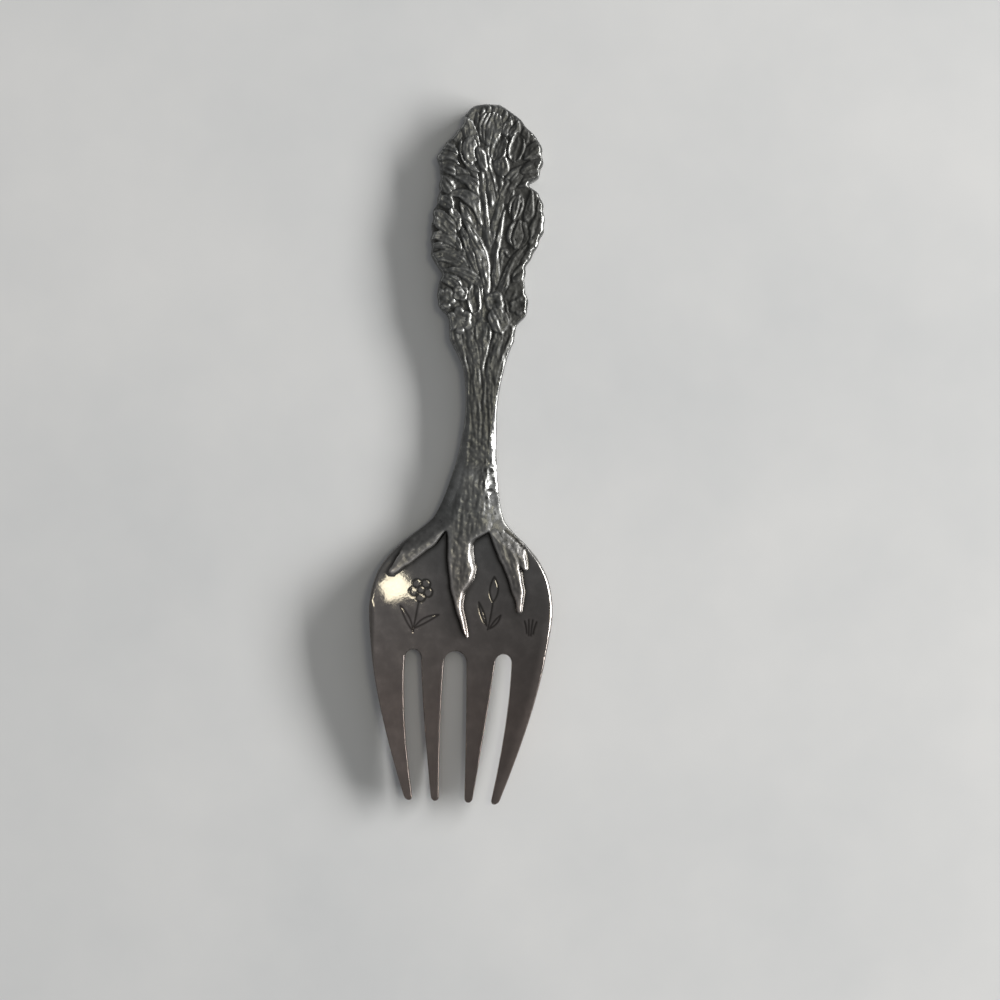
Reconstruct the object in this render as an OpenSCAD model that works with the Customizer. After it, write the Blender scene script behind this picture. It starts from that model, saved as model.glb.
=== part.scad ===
// Baby fork: one casting, divided at its own features into the head, four tines, a trunk-shaped
// shank with roots that spread over the head, and a scalloped handle plate with a floral relief.
// It lies front up on its belly and its handle end. +Y runs to the handle end, +Z is up. Millimetres.

/* [Lengths] */
// Length of the tines, slot ends to tips
tine_len = 24.5; // [18:0.5:30]
// Length of the head, slot ends to neck
head_len = 22; // [18:0.5:28]
// Length of the shank, neck to handle plate
shank_len = 29; // [20:0.5:40]
// Length of the handle plate
handle_len = 38.5; // [30:0.5:50]
// Length of the flat that the handle end rests on
rest_len = 11; // [6:0.5:14]

/* [Widths] */
// Width of the head at its widest
head_w = 29.8; // [26:0.2:36]
// Width where the shank runs into the head
neck_w = 11.4; // [8:0.2:14]
// Width of the shank at its waist
waist_w = 5.2; // [4:0.1:7]
// Width where the shank runs into the handle plate
collar_w = 10.6; // [8:0.2:13]
// Width of the handle plate
handle_w = 18.6; // [15:0.2:24]
// Sideways bow of the shank at its waist
waist_shift = 1.5; // [0:0.1:2]
// Sideways shift of the handle plate
handle_shift = 0.9; // [0:0.1:2]

/* [Tines] */
// Width of the middle slot
middle_slot_w = 3.4; // [2:0.1:4]
// Width of each side slot
side_slot_w = 2.4; // [1.6:0.1:3]
// Width of an inner tine at its root
inner_tine_w = 4.5; // [3.5:0.1:5]
// Sideways shift of the middle slot
middle_slot_shift = -0.5; // [-0.8:0.1:0.8]
// Width of a tine at its tip
tip_w = 1.3; // [1:0.1:2]
// Distance between the tips of the outer tines
outer_tip_gap = 13.9; // [12:0.1:20]
// Distance between the tips of the inner tines
inner_tip_gap = 5.4; // [4.6:0.2:8]
// Sideways shift of the tine tips
tip_shift = 0.2; // [-0.6:0.1:0.6]

/* [Heights] */
// Height of the tine tips over the belly
tip_rise = 1; // [0.4:0.2:6]
// Height of the arched shank's underside
arch_rise = 0.4; // [0.2:0.2:6]
// Height of the head's rim over its middle
dish_depth = 2.8; // [0.8:0.1:4]

/* [Thicknesses] */
// Thickness of the tine tips
tip_t = 1.2; // [0.8:0.1:1.6]
// Thickness of the head
head_t = 1.9; // [1.4:0.1:2.6]
// Thickness of the shank at its waist
shank_t = 2.8; // [2.4:0.1:5]
// Thickness of the handle plate
handle_t = 2.8; // [1.8:0.1:3.6]

/* [Relief] */
// Height of the stems over the handle plate
stem_h = 0.9; // [0.5:0.1:1.4]
// Height of the leaves over the handle plate
leaf_h = 0.8; // [0.5:0.1:1.4]
// Height of the blossoms over the handle plate
blossom_h = 1.2; // [0.6:0.1:1.8]
// Height of the roots over the head
root_h = 1.5; // [0.8:0.1:2]
// Number of petals round each collar bloom
bloom_petals = 5; // [4:1:7]

/* [Hidden] */

// Colours of the dark metal: smooth, carved and raised
smooth_metal = "#6b6763";
carved_metal = "#55534f";
raised_metal = "#7d7a74";

// Stations along the fork
total_len = tine_len + head_len + shank_len + handle_len;
tip_y = -total_len / 2;
slot_y = tip_y + tine_len;
belly_y = slot_y + head_len * 0.2;
neck_y = slot_y + head_len;
arch_y = neck_y + shank_len * 0.5;
waist_y = neck_y + shank_len * 0.62;
collar_y = neck_y + shank_len;
end_y = total_len / 2;
rest_y = end_y - rest_len;

// Steps of the lofted bodies
edge_steps = 2;
plate_steps = 10;
tine_steps = 2;
handle_rings = 44;
shank_rings = 18;
head_rings = 16;
tine_rings = 12;
end_steps = 4;

// Hair's breadth between the raised work and the metal below it
seat_gap = 0.03;
// How far the raised work stays in from the edges
edge_margin = 0.25;
// Longest step along a strand of the raised work
strand_step = 1.8;

// Slope of the chord from point i of a curve to the next
function chord(p, i) = (p[i + 1][1] - p[i][1]) / (p[i + 1][0] - p[i][0]);

// Slope of a curve at its point i: level at a crest or dip, free at both ends
function slope(p, i) =
    i == 0 ? (3 * chord(p, 0) - inner_slope(p, 1)) / 2 :
    i == len(p) - 1 ? (3 * chord(p, i - 1) - inner_slope(p, i - 1)) / 2 :
    inner_slope(p, i);
function inner_slope(p, i) =
    i < 1 || i > len(p) - 2 ? 0 :
    let (a = chord(p, i - 1), b = chord(p, i))
    a * b <= 0 ? 0 : 2 * a * b / (a + b);

// Stretch of a curve that holds the place s
function stretch(p, s, i = 0) = i >= len(p) - 2 || s < p[i + 1][0] ? i : stretch(p, s, i + 1);

// Value at the place s of the smooth curve through the points p
function smooth(p, s) =
    let (
        i = stretch(p, s),
        h = p[i + 1][0] - p[i][0],
        t = (s - p[i][0]) / h,
        u = 1 - t
    )
    p[i][1] * u * u * (1 + 2 * t) + p[i + 1][1] * t * t * (1 + 2 * u)
    + h * t * u * (slope(p, i) * u - slope(p, i + 1) * t);

function mix(a, b, s) = a + (b - a) * s;

// Side view: underside height, thickness and dish, at each station
under_line = [[tip_y, tip_rise], [belly_y, 0], [arch_y, arch_rise], [rest_y, 0], [end_y, 0]];
thick_line = [
    [tip_y, tip_t], [slot_y, head_t], [mix(slot_y, neck_y, 0.6), head_t],
    [waist_y, shank_t], [mix(collar_y, end_y, 0.3), handle_t], [end_y, handle_t]
];
dish_line = [[tip_y, dish_depth], [belly_y, dish_depth], [neck_y, 0], [end_y, 0]];
centre_line = [
    [tip_y, 0], [mix(slot_y, neck_y, 0.5), 0], [waist_y, waist_shift],
    [mix(waist_y, collar_y, 0.5), waist_shift], [collar_y, handle_shift], [end_y, handle_shift]
];
function thick(y) = smooth(thick_line, y);
function centre_x(y) = smooth(centre_line, y);
function middle_z(x, y) =
    smooth(under_line, y) + thick(y) / 2 + smooth(dish_line, y) * pow(2 * x / head_w, 2);

// Front view: outline of the head as shares from the slot ends to the neck, and from neck to full width
head_edge = [
    [0, 0.92], [0.16, 0.97], [0.32, 1], [0.42, 0.98], [0.56, 0.9], [0.69, 0.73], [0.81, 0.47], [0.91, 0.19]
];

// Half-width from the slot ends over the head, in to the waist of the shank and out to the collar
body_line = concat(
    [for (p = head_edge) [mix(slot_y, neck_y, p[0]), mix(neck_w, head_w, p[1]) / 2]],
    [
        [neck_y, neck_w / 2], [mix(neck_y, waist_y, 0.28), mix(waist_w, neck_w, 0.49) / 2],
        [mix(neck_y, waist_y, 0.67), mix(waist_w, neck_w, 0.11) / 2], [waist_y, waist_w / 2],
        [mix(waist_y, collar_y, 0.47), mix(waist_w, collar_w, 0.2) / 2], [collar_y, collar_w / 2]
    ]
);
function body_half(y) = smooth(body_line, y);

// Scalloped outline of the handle plate: place along it, share of its half-width
left_scallops = [
    [0, 0.57], [0.08, 0.6], [0.14, 0.8], [0.2, 0.83], [0.27, 0.78], [0.34, 0.97], [0.45, 1],
    [0.54, 0.98], [0.58, 0.92], [0.7, 0.9], [0.76, 0.97], [0.82, 0.84], [0.9, 0.58], [0.96, 0.49],
    [0.985, 0.4], [1, 0.16]
];
right_scallops = [
    [0, 0.57], [0.06, 0.59], [0.12, 0.76], [0.17, 0.78], [0.24, 0.71], [0.3, 0.71], [0.4, 0.88],
    [0.5, 1], [0.58, 0.96], [0.63, 0.88], [0.665, 0.7], [0.7, 0.84], [0.77, 0.91], [0.84, 0.86],
    [0.9, 0.64], [0.96, 0.38], [0.985, 0.22], [1, 0.08]
];
collar_share = collar_w / handle_w;
collar_blend = 0.14;

// Half-width of the handle plate on one side, which leaves the collar at the collar's own width
function handle_half(scallops, v) =
    let (step = (collar_share - scallops[0][1]) * pow(max(0, 1 - v / collar_blend), 2))
    handle_w / 2 * (smooth(scallops, v) + step);

// Left and right edge of the fork at any station between the slot ends and the handle end
function edges(y) =
    let (v = (y - collar_y) / handle_len)
    y > collar_y
        ? [centre_x(y) - handle_half(left_scallops, v), centre_x(y) + handle_half(right_scallops, v)]
        : [centre_x(y) - body_half(y), centre_x(y) + body_half(y)];

// Share of the half-thickness that a rounded edge has at a distance in from it
function edge_lift(inset, radius) =
    inset >= radius ? 1 : sqrt(max(0, 1 - pow(1 - max(0, inset) / radius, 2)));

// Radius of the rounded edges of a section
edge_share = 0.32;
function edge_radius(x0, x1, y) = min(thick(y) / 2, (x1 - x0) * edge_share);

// Height of the front surface at a point
function front_z(p) =
    let (
        e = edges(p[1]),
        inset = min(p[0] - e[0], e[1] - p[0])
    )
    middle_z(p[0], p[1]) + thick(p[1]) / 2 * edge_lift(inset, edge_radius(e[0], e[1], p[1]));

// Places across a section, closer together on its rounded edges
function places(x0, x1, radius, flat_steps) = concat(
    [for (k = [1 : edge_steps]) x0 + radius * (1 - cos(90 * k / edge_steps))],
    [for (k = [1 : flat_steps - 1]) mix(x0 + radius, x1 - radius, k / flat_steps)],
    [for (k = [edge_steps : -1 : 1]) x1 - radius * (1 - cos(90 * k / edge_steps))]
);

// Closed section at the station y from edge x0 to edge x1: left tip, front, right tip, back
function section(y, x0, x1, flat_steps) =
    let (
        radius = edge_radius(x0, x1, y),
        xs = places(x0, x1, radius, flat_steps),
        half = [for (x = xs) thick(y) / 2 * edge_lift(min(x - x0, x1 - x), radius)],
        last = len(xs) - 1
    )
    concat(
        [[x0, y, middle_z(x0, y)]],
        [for (i = [0 : last]) [xs[i], y, middle_z(xs[i], y) + half[i]]],
        [[x1, y, middle_z(x1, y)]],
        [for (i = [last : -1 : 0]) [xs[i], y, middle_z(xs[i], y) - half[i]]]
    );

// Face across an end section, as strips between front and back
function end_faces(n, first, turned) =
    [for (j = [0 : n / 2 - 1])
        let (
            strip = [first + j, first + j + 1, first + (n - j - 1) % n, first + (n - j) % n],
            corners = j == 0 ? [0, 1, 2] : j == n / 2 - 1 ? [0, 1, 3] : [0, 1, 2, 3],
            face = [for (i = corners) strip[i]]
        )
        turned ? [for (i = [len(face) - 1 : -1 : 0]) face[i]] : face];

// Solid through a row of sections with equal numbers of points
module loft(sections) {
    n = len(sections[0]);
    last = len(sections) - 1;
    sides = [
        for (i = [0 : last - 1], k = [0 : n - 1])
            let (a = i * n + k, b = i * n + (k + 1) % n)
            each [[a, a + n, b + n], [a, b + n, b]]
    ];
    polyhedron(
        points = [for (s = sections) each s],
        faces = concat(end_faces(n, 0, false), sides, end_faces(n, last * n, true)),
        convexity = 6
    );
}

// Stretch of the fork's body between two stations
module body(y0, y1, rings) {
    loft([for (k = [0 : rings]) let (y = mix(y0, y1, k / rings), e = edges(y))
        section(y, e[0], e[1], plate_steps)]);
}

// Half-width of a slot at a distance from its round end
function slot_half(w, d) = d >= w / 2 ? w / 2 : sqrt(d * (w - d));

// Edges of the four tines at their roots, left to right
middle_left = middle_slot_shift - middle_slot_w / 2;
middle_right = middle_slot_shift + middle_slot_w / 2;
side_x = middle_slot_w / 2 + inner_tine_w;
root_edges = [
    [-body_half(slot_y), -side_x - side_slot_w], [-side_x, middle_left],
    [middle_right, side_x], [side_x + side_slot_w, body_half(slot_y)]
];
tip_places = [for (gap = [-outer_tip_gap, -inner_tip_gap, inner_tip_gap, outer_tip_gap]) tip_shift + gap / 2];
left_slots = [0, side_slot_w, middle_slot_w, side_slot_w];
right_slots = [side_slot_w, middle_slot_w, side_slot_w, 0];
tine_bend = 1.5;

// Share of its width that a tine keeps on its rounded tip
blunt_share = 0.3;
function tip_round(d) = max(blunt_share, edge_lift(tine_len - d, tip_w / 2));

// Edges of tine number i, left to right, at a distance d from the slot ends
function tine_edges(i, d) =
    let (
        s = d / tine_len,
        middle = mix((root_edges[i][0] + root_edges[i][1]) / 2, tip_places[i], pow(s, tine_bend)),
        half = mix(root_edges[i][1] - root_edges[i][0], tip_w, s) / 2 * tip_round(d),
        left_flare = left_slots[i] / 2 - slot_half(left_slots[i], d),
        right_flare = right_slots[i] / 2 - slot_half(right_slots[i], d)
    )
    [middle - half - left_flare, middle + half + right_flare];

// One tine from its tip to its root, with close stations round the slot ends
module tine(i) {
    slot_radius = max(left_slots[i], right_slots[i]) / 2;
    tip_radius = tip_w / 2;
    stations = concat(
        [for (k = [0 : end_steps - 1]) tine_len - tip_radius * (1 - cos(90 * k / end_steps))],
        [for (k = [0 : tine_rings]) mix(tine_len - tip_radius, slot_radius, k / tine_rings)],
        [for (k = [1 : end_steps]) slot_radius * (1 - sin(90 * k / end_steps))]
    );
    color(smooth_metal)
        loft([for (d = stations) let (e = tine_edges(i, d)) section(slot_y - d, e[0], e[1], tine_steps)]);
}

module head() {
    color(smooth_metal) body(slot_y, neck_y, head_rings);
}

module shank() {
    color(carved_metal) body(neck_y, collar_y, shank_rings);
}

module handle_plate() {
    color(carved_metal) body(collar_y, end_y, handle_rings);
}

// Points of the raised work: across and along the handle, and across and down the head
function on_handle(p) =
    let (y = collar_y + p[1] * handle_len)
    [centre_x(y) + p[0] * handle_w / 2, y];
function on_head(p) =
    let (y = neck_y - p[1] * head_len)
    [centre_x(y) + p[0] * head_w / 2, y];

// Measure that the widths of the handle's ornament are shares of, so that it never crowds
grain = min(handle_w, handle_len / 2);

// Place, direction and length of a curve with three control points
function bend(p, s) = p[0] * (1 - s) * (1 - s) + p[1] * 2 * s * (1 - s) + p[2] * s * s;
function heading(p, s) =
    let (d = (p[1] - p[0]) * (1 - s) + (p[2] - p[1]) * s)
    d / max(norm(d), 0.001);
function reach(p) = norm(p[1] - p[0]) + norm(p[2] - p[1]);

// Widths along a strand as shares of its full width
stem_shape = function (s) 1 - 0.35 * s;
leaf_shape = function (s) 0.15 + 0.85 * sin(180 * pow(s, 0.8));
bud_shape = function (s) 0.3 + 0.7 * sin(25 + 135 * s);
root_shape = function (s) min(1, 0.6 + 1.4 * s) * (1 - 0.85 * pow(s, 1.5));

// Heights across a strand: place as a share of the half-width, share of the full height
stem_profile = [[-0.65, 0.75], [0, 1], [0.65, 0.75]];
leaf_profile = [[-0.7, 0.8], [0, 1], [0.7, 0.8]];
bud_profile = [[-0.8, 0.7], [-0.4, 0.55], [0, 1], [0.4, 0.55], [0.8, 0.7]];

// The nearest point that lies clear of the fork's edges
function kept_in(p) =
    let (
        y = min(p[1], end_y - edge_margin),
        e = edges(y)
    )
    [max(e[0] + edge_margin, min(e[1] - edge_margin, p[0])), y];

// A point at a height over the front surface
function raised(p, height) =
    let (q = kept_in(p))
    [q[0], q[1], front_z(q) + seat_gap + height];

// Ring across a strand: left foot, profile, right foot and the middle of the underside
function strand_ring(path, s, half, height, profile) =
    let (
        middle = bend(path, s),
        d = heading(path, s),
        side = [d[1], -d[0]] * half
    )
    concat(
        [raised(middle - side, 0)],
        [for (q = profile) raised(middle + side * q[0], height * q[1])],
        [raised(middle + side, 0), raised(middle, 0)]
    );

// Raised strand along a curve, such as a stem, a leaf, a bud or a root, which ramps up at its start
least_steps = 4;
start_rise = 0.15;
thin_rise = 0.45;
module strand(path, w, height, shape, profile, ramp) {
    steps = max(least_steps, ceil(reach(path) / strand_step));
    rings = [for (k = [0 : steps])
        let (s = k / steps, rise = min(1, start_rise + s / ramp) * mix(thin_rise, 1, shape(s)))
        strand_ring(path, s, w / 2 * shape(s), height * rise, profile)];
    n = len(rings[0]);
    sides = [
        for (i = [0 : steps - 1], k = [0 : n - 1])
            let (a = i * n + k, b = i * n + (k + 1) % n)
            each [[a, a + n, b + n], [a, b + n, b]]
    ];
    first_end = [for (k = [0 : n - 3]) [n - 1, k, k + 1]];
    last_end = [for (k = [0 : n - 3]) [n - 1, k + 1, k] + steps * n * [1, 1, 1]];
    polyhedron(
        points = [for (r = rings) each r],
        faces = concat(first_end, sides, last_end),
        convexity = 4
    );
}

// Stems: three control points across and along the handle, and a width
stem_list = [
    [[0.02, -0.36], [0.01, -0.2], [0.02, -0.08], 0.07],
    [[0.02, 0.11], [-0.02, 0.4], [-0.04, 0.69], 0.085],
    [[0.18, 0.22], [0.14, 0.5], [0.42, 0.7], 0.07],
    [[0.31, 0.22], [0.32, 0.36], [0.44, 0.39], 0.05],
    [[0.43, 0.22], [0.52, 0.32], [0.74, 0.36], 0.06],
    [[-0.17, -0.36], [-0.22, -0.1], [-0.4, -0.03], 0.06],
    [[-0.11, -0.18], [-0.14, -0.04], [-0.16, 0.1], 0.032],
    [[0.14, -0.18], [0.17, -0.04], [0.18, 0.08], 0.032],
    [[0.2, -0.36], [0.26, -0.12], [0.4, -0.03], 0.06]
];
stem_ramp = 0.25;
leaf_ramp = 0.1;

// Row of leaves up the left of the main stem: long ones, and short ones that carry a bud
leaf_rows = 7;
first_leaf_v = 0.2;
leaf_pitch = 0.066;
leaf_w = 0.085;
long_leaf_u = -0.88;
short_leaf_u = -0.56;
function is_short(i) = i % 2 == 1;
function row_leaf(i) =
    let (v = first_leaf_v + leaf_pitch * i, u = is_short(i) ? short_leaf_u : long_leaf_u)
    [[-0.14, v], [-0.42, v + 0.11], [u, v + 0.09], leaf_w];
function row_bud(i) =
    let (v = first_leaf_v + leaf_pitch * i)
    [[-0.63, v + 0.085], [-0.88, v + 0.095], 0.095];

// Leaves: three control points across and along the handle, and a width
left_leaf_list = concat(
    [for (i = [0 : leaf_rows - 1]) row_leaf(i)],
    [[[-0.24, 0.69], [-0.52, 0.76], [-0.84, 0.72], 0.08]]
);
right_leaf_list = [
    [[0.76, 0.4], [0.96, 0.47], [0.84, 0.63], 0.085],
    [[0.5, 0.71], [0.66, 0.76], [0.84, 0.73], 0.085]
];

// Tulip buds: base, tip and width
crown_list = [
    [[-0.06, 0.83], [-0.04, 0.96], 0.17],
    [[-0.36, 0.86], [-0.38, 0.94], 0.09],
    [[0.23, 0.86], [0.26, 0.94], 0.09],
    [[-0.33, 0.76], [-0.4, 0.83], 0.1],
    [[-0.1, 0.73], [-0.13, 0.81], 0.1],
    [[0.14, 0.72], [0.18, 0.81], 0.1],
    [[0.38, 0.75], [0.43, 0.83], 0.1],
    [[0.47, 0.86], [0.49, 0.92], 0.09],
    [[0.61, 0.78], [0.69, 0.85], 0.1]
];
left_bud_list = concat(
    [for (i = [0 : leaf_rows - 1]) if (is_short(i)) row_bud(i)],
    [[[-0.58, 0.79], [-0.72, 0.85], 0.1]]
);
right_bud_list = [
    [[0.5, 0.42], [0.56, 0.53], 0.17],
    [[0.52, 0.56], [0.58, 0.65], 0.14]
];

// Collar blooms: centre and radius, with one long bud below them
bloom_list = [
    [[-0.62, 0.15], 0.08], [[-0.3, 0.16], 0.07], [[-0.41, 0.045], 0.08],
    [[0.32, 0.155], 0.07], [[0.39, 0.05], 0.08], [[0.63, 0.15], 0.08]
];
collar_bud = [[0.02, -0.06], [0.03, 0.08], 0.09];

// Roots: three control points down the head, and a share of the neck's width
left_root = [[-0.22, -0.1], [-0.3, 0.16], [-0.71, 0.44], 0.28];
centre_root = [[0.0, -0.22], [-0.13, 0.45], [0.08, 0.87], 0.36];
inner_root = [[0.2, -0.12], [0.36, 0.25], [0.65, 0.68], 0.2];
outer_root = [[0.36, 0.03], [0.5, 0.2], [0.7, 0.42], 0.16];
root_ramp = 0.35;

// Curve of a stem or leaf over the handle, and of a root over the head
function handle_path(s) = [for (k = [0 : 2]) on_handle(s[k])];
function head_path(s) = [for (k = [0 : 2]) on_head(s[k])];

module stems() {
    color(raised_metal)
        for (s = stem_list)
            strand(handle_path(s), s[3] * grain, stem_h, stem_shape, stem_profile, stem_ramp);
}

module leaves(list) {
    color(raised_metal)
        for (s = list)
            strand(handle_path(s), s[3] * grain, leaf_h, leaf_shape, leaf_profile, leaf_ramp);
}

// Tulip bud with a raised middle petal between two side petals
module bud(b) {
    foot = on_handle(b[0]);
    tip = on_handle(b[1]);
    strand([foot, (foot + tip) / 2, tip], b[2] * grain, blossom_h, bud_shape, bud_profile, leaf_ramp);
}

module buds(list) {
    color(raised_metal)
        for (b = list)
            bud(b);
}

// Round bloom: a raised eye, a ring of petals that bulge out, and a flat underside
eye_r = 0.3;
crest_r = 0.65;
crest_h = 0.85;
valley_r = 0.7;
valley_h = 0.5;
module bloom(b) {
    middle = on_handle(b[0]);
    r = b[1] * grain;
    n = 2 * bloom_petals;
    out = [for (k = [0 : n - 1]) [cos(90 + 360 * k / n), sin(90 + 360 * k / n)] * r];
    bulge = [for (k = [0 : n - 1]) k % 2 == 0 ? 1 : valley_r];
    crest = [for (k = [0 : n - 1]) k % 2 == 0 ? crest_h : valley_h];
    points = concat(
        [raised(middle, 0)],
        [for (k = [0 : n - 1]) raised(middle + out[k] * bulge[k], 0)],
        [for (k = [0 : n - 1]) raised(middle + out[k] * crest_r * bulge[k], blossom_h * crest[k])],
        [for (k = [0 : n - 1]) raised(middle + out[k] * eye_r, blossom_h * valley_h)],
        [raised(middle, blossom_h)]
    );
    last = len(points) - 1;
    bands = [
        for (j = [0 : 1], k = [0 : n - 1])
            let (a = 1 + j * n + k, b = 1 + j * n + (k + 1) % n)
            each [[a, a + n, b + n], [a, b + n, b]]
    ];
    under = [for (k = [0 : n - 1]) [0, 1 + k, 1 + (k + 1) % n]];
    eye = [for (k = [0 : n - 1]) [last, 1 + 2 * n + (k + 1) % n, 1 + 2 * n + k]];
    polyhedron(points = points, faces = concat(under, bands, eye), convexity = 4);
}

module collar_blossoms() {
    color(raised_metal) {
        for (b = bloom_list)
            bloom(b);
        bud(collar_bud);
    }
}

module root(r) {
    color(raised_metal)
        strand(head_path(r), r[3] * neck_w, root_h, root_shape, leaf_profile, root_ramp);
}

head();
tine(0);  // tine_1
tine(1);  // tine_2
tine(2);  // tine_3
tine(3);  // tine_4
shank();
handle_plate();
root(left_root);  // root_left
root(centre_root);  // root_centre
root(inner_root);  // root_right_inner
root(outer_root);  // root_right_outer
stems();
leaves(left_leaf_list);  // left_leaves
leaves(right_leaf_list);  // right_leaves
buds(crown_list);  // crown_blossoms
buds(left_bud_list);  // left_blossoms
buds(right_bud_list);  // right_blossoms
collar_blossoms();
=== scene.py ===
import math

import bpy
import numpy as np
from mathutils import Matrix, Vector, kdtree
from mathutils.geometry import delaunay_2d_cdt


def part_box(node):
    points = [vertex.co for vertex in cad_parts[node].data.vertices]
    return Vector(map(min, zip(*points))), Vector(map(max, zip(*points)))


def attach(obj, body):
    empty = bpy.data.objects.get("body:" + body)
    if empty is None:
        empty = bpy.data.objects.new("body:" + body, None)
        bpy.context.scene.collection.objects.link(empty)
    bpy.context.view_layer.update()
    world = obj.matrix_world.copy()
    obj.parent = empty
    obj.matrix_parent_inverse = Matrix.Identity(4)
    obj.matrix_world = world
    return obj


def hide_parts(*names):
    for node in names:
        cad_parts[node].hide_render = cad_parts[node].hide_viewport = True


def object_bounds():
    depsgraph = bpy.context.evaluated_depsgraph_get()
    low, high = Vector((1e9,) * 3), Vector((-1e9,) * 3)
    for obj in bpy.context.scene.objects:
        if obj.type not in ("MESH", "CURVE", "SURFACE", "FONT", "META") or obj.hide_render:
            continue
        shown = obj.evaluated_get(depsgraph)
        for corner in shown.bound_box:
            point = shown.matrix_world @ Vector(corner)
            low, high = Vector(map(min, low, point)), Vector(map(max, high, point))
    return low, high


# Baby fork in dark cast pewter. The casting is worked out in plan as two height fields, its front and
# its back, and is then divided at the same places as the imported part. Sizes are millimetres, apart from
# the floor and the lamps, which are placed in metres.
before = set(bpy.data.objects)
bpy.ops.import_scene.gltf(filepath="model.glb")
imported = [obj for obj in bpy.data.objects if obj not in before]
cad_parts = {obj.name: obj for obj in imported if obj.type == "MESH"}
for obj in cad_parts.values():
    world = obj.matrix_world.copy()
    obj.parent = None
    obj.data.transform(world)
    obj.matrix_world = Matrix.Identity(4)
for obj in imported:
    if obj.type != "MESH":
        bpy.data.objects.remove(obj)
cad_low, cad_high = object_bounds()
MM = 0.001

# Regions of the casting in their order along it, and the raised work on them
REGIONS = ["tine_1", "tine_2", "tine_3", "tine_4", "head", "shank", "handle_plate"]
RAISED = [
    "root_left", "root_centre", "root_right_inner", "root_right_outer",
    "stems", "left_leaves", "right_leaves",
    "crown_blossoms", "left_blossoms", "right_blossoms", "collar_blossoms",
]
HEAD, SHANK, HANDLE = 4, 5, 6


def span(node, axis):
    """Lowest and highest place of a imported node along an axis."""
    low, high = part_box(node)
    return low[axis] / MM, high[axis] / MM


# Stations along the fork and widths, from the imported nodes
tip_y, slot_y = span("tine_1", 1)
neck_y, collar_y = span("shank", 1)
end_y = span("handle_plate", 1)[1]
head_left, head_right = span("head", 0)
handle_left, handle_right = span("handle_plate", 0)
tine_len = slot_y - tip_y
head_len = neck_y - slot_y
shank_len = collar_y - neck_y
handle_len = end_y - collar_y
head_w = head_right - head_left
handle_w = handle_right - handle_left
handle_shift = (handle_left + handle_right) / 2

# Widths and heights of the casting
neck_w = 11.4
waist_w = 5.2
collar_w = 10.6
waist_shift = 1.5
middle_slot_w = 3.4
side_slot_w = 2.4
inner_tine_w = 4.5
middle_slot_shift = -0.5
tine_count = 4
tip_w = 1.3
outer_tip_gap = 13.9
inner_tip_gap = 5.4
tip_shift = 0.2
tip_rise = 1
arch_rise = 0.4
dish_depth = 2.8
rest_len = 11
tip_t = 1.2
head_t = 1.9
shank_t = 2.8
handle_t = 2.8

belly_y = slot_y + head_len * 0.2
arch_y = neck_y + shank_len * 0.5
waist_y = neck_y + shank_len * 0.62
rest_y = end_y - rest_len

# Steps of the mesh along edges and across faces, and how finely its lines are sampled
tine_step = 0.34
head_step = 0.27
shank_step = 0.18
handle_step = 0.142
engraved_step = 0.155
root_step = 0.18
back_step = 0.6
fine_scale = 0.25
side_samples = 3000
tine_samples = 4000
bend_points = 28

# Tines, head, shank and handle as bands: start, end and step of each
bands = [
    (tip_y, slot_y, tine_step), (slot_y, neck_y, head_step),
    (neck_y, collar_y, shank_step), (collar_y, end_y, handle_step),
]

# Gaps that keep the mesh's points apart, as shares of a depth or of a step, and in millimetres
line_share = 0.8
ring_share = 0.96
ring_cut_gap = 0.06
grid_share = 0.45
grid_cut_share = 0.4
merge_gap = 1e-7

# Rings of points along the edges, as shares of the bevel
front_rings = (0, 0.35, 0.7, 1)
back_rings = (0, 1)


def mix(a, b, share):
    """Value at a share of the way from a to b."""
    return a + (b - a) * share


def ease(low, high, value):
    """Smooth step from 0 at low to 1 at high."""
    share = np.clip((value - low) / (high - low), 0, 1)
    return share * share * (3 - 2 * share)


def curve(points):
    """Smooth curve through points, level at each crest and dip, as a function of place."""
    places, values = np.array(points, float).T
    chords = np.diff(values) / np.diff(places)
    before, after = chords[:-1], chords[1:]
    same_way = before * after > 0
    total = np.where(same_way, before + after, 1)
    inner = np.where(same_way, 2 * before * after / total, 0)
    first = (3 * chords[0] - inner[0]) / 2
    last = (3 * chords[-1] - inner[-1]) / 2
    slopes = np.concatenate(([first], inner, [last]))

    def value(place):
        place = np.clip(place, places[0], places[-1])
        i = np.clip(np.searchsorted(places, place, side="right") - 1, 0, len(places) - 2)
        h = places[i + 1] - places[i]
        t = (place - places[i]) / h
        u = 1 - t
        level = values[i] * u * u * (1 + 2 * t) + values[i + 1] * t * t * (1 + 2 * u)
        return level + h * t * u * (slopes[i] * u - slopes[i + 1] * t)

    return value


lattice_size = 256
lattice = np.random.default_rng(11).random((lattice_size, lattice_size))


def noise(x, y):
    """Smooth random values from -1 to 1, with bumps about one unit across. Offsets give other patterns."""
    column = np.floor(x).astype(int)
    row = np.floor(y).astype(int)
    s = ease(0, 1, x - column)
    t = ease(0, 1, y - row)

    def corner(a, b):
        return lattice[(column + a) % lattice_size, (row + b) % lattice_size]

    low = mix(corner(0, 0), corner(1, 0), s)
    high = mix(corner(0, 1), corner(1, 1), s)
    return 2 * mix(low, high, t) - 1


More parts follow.
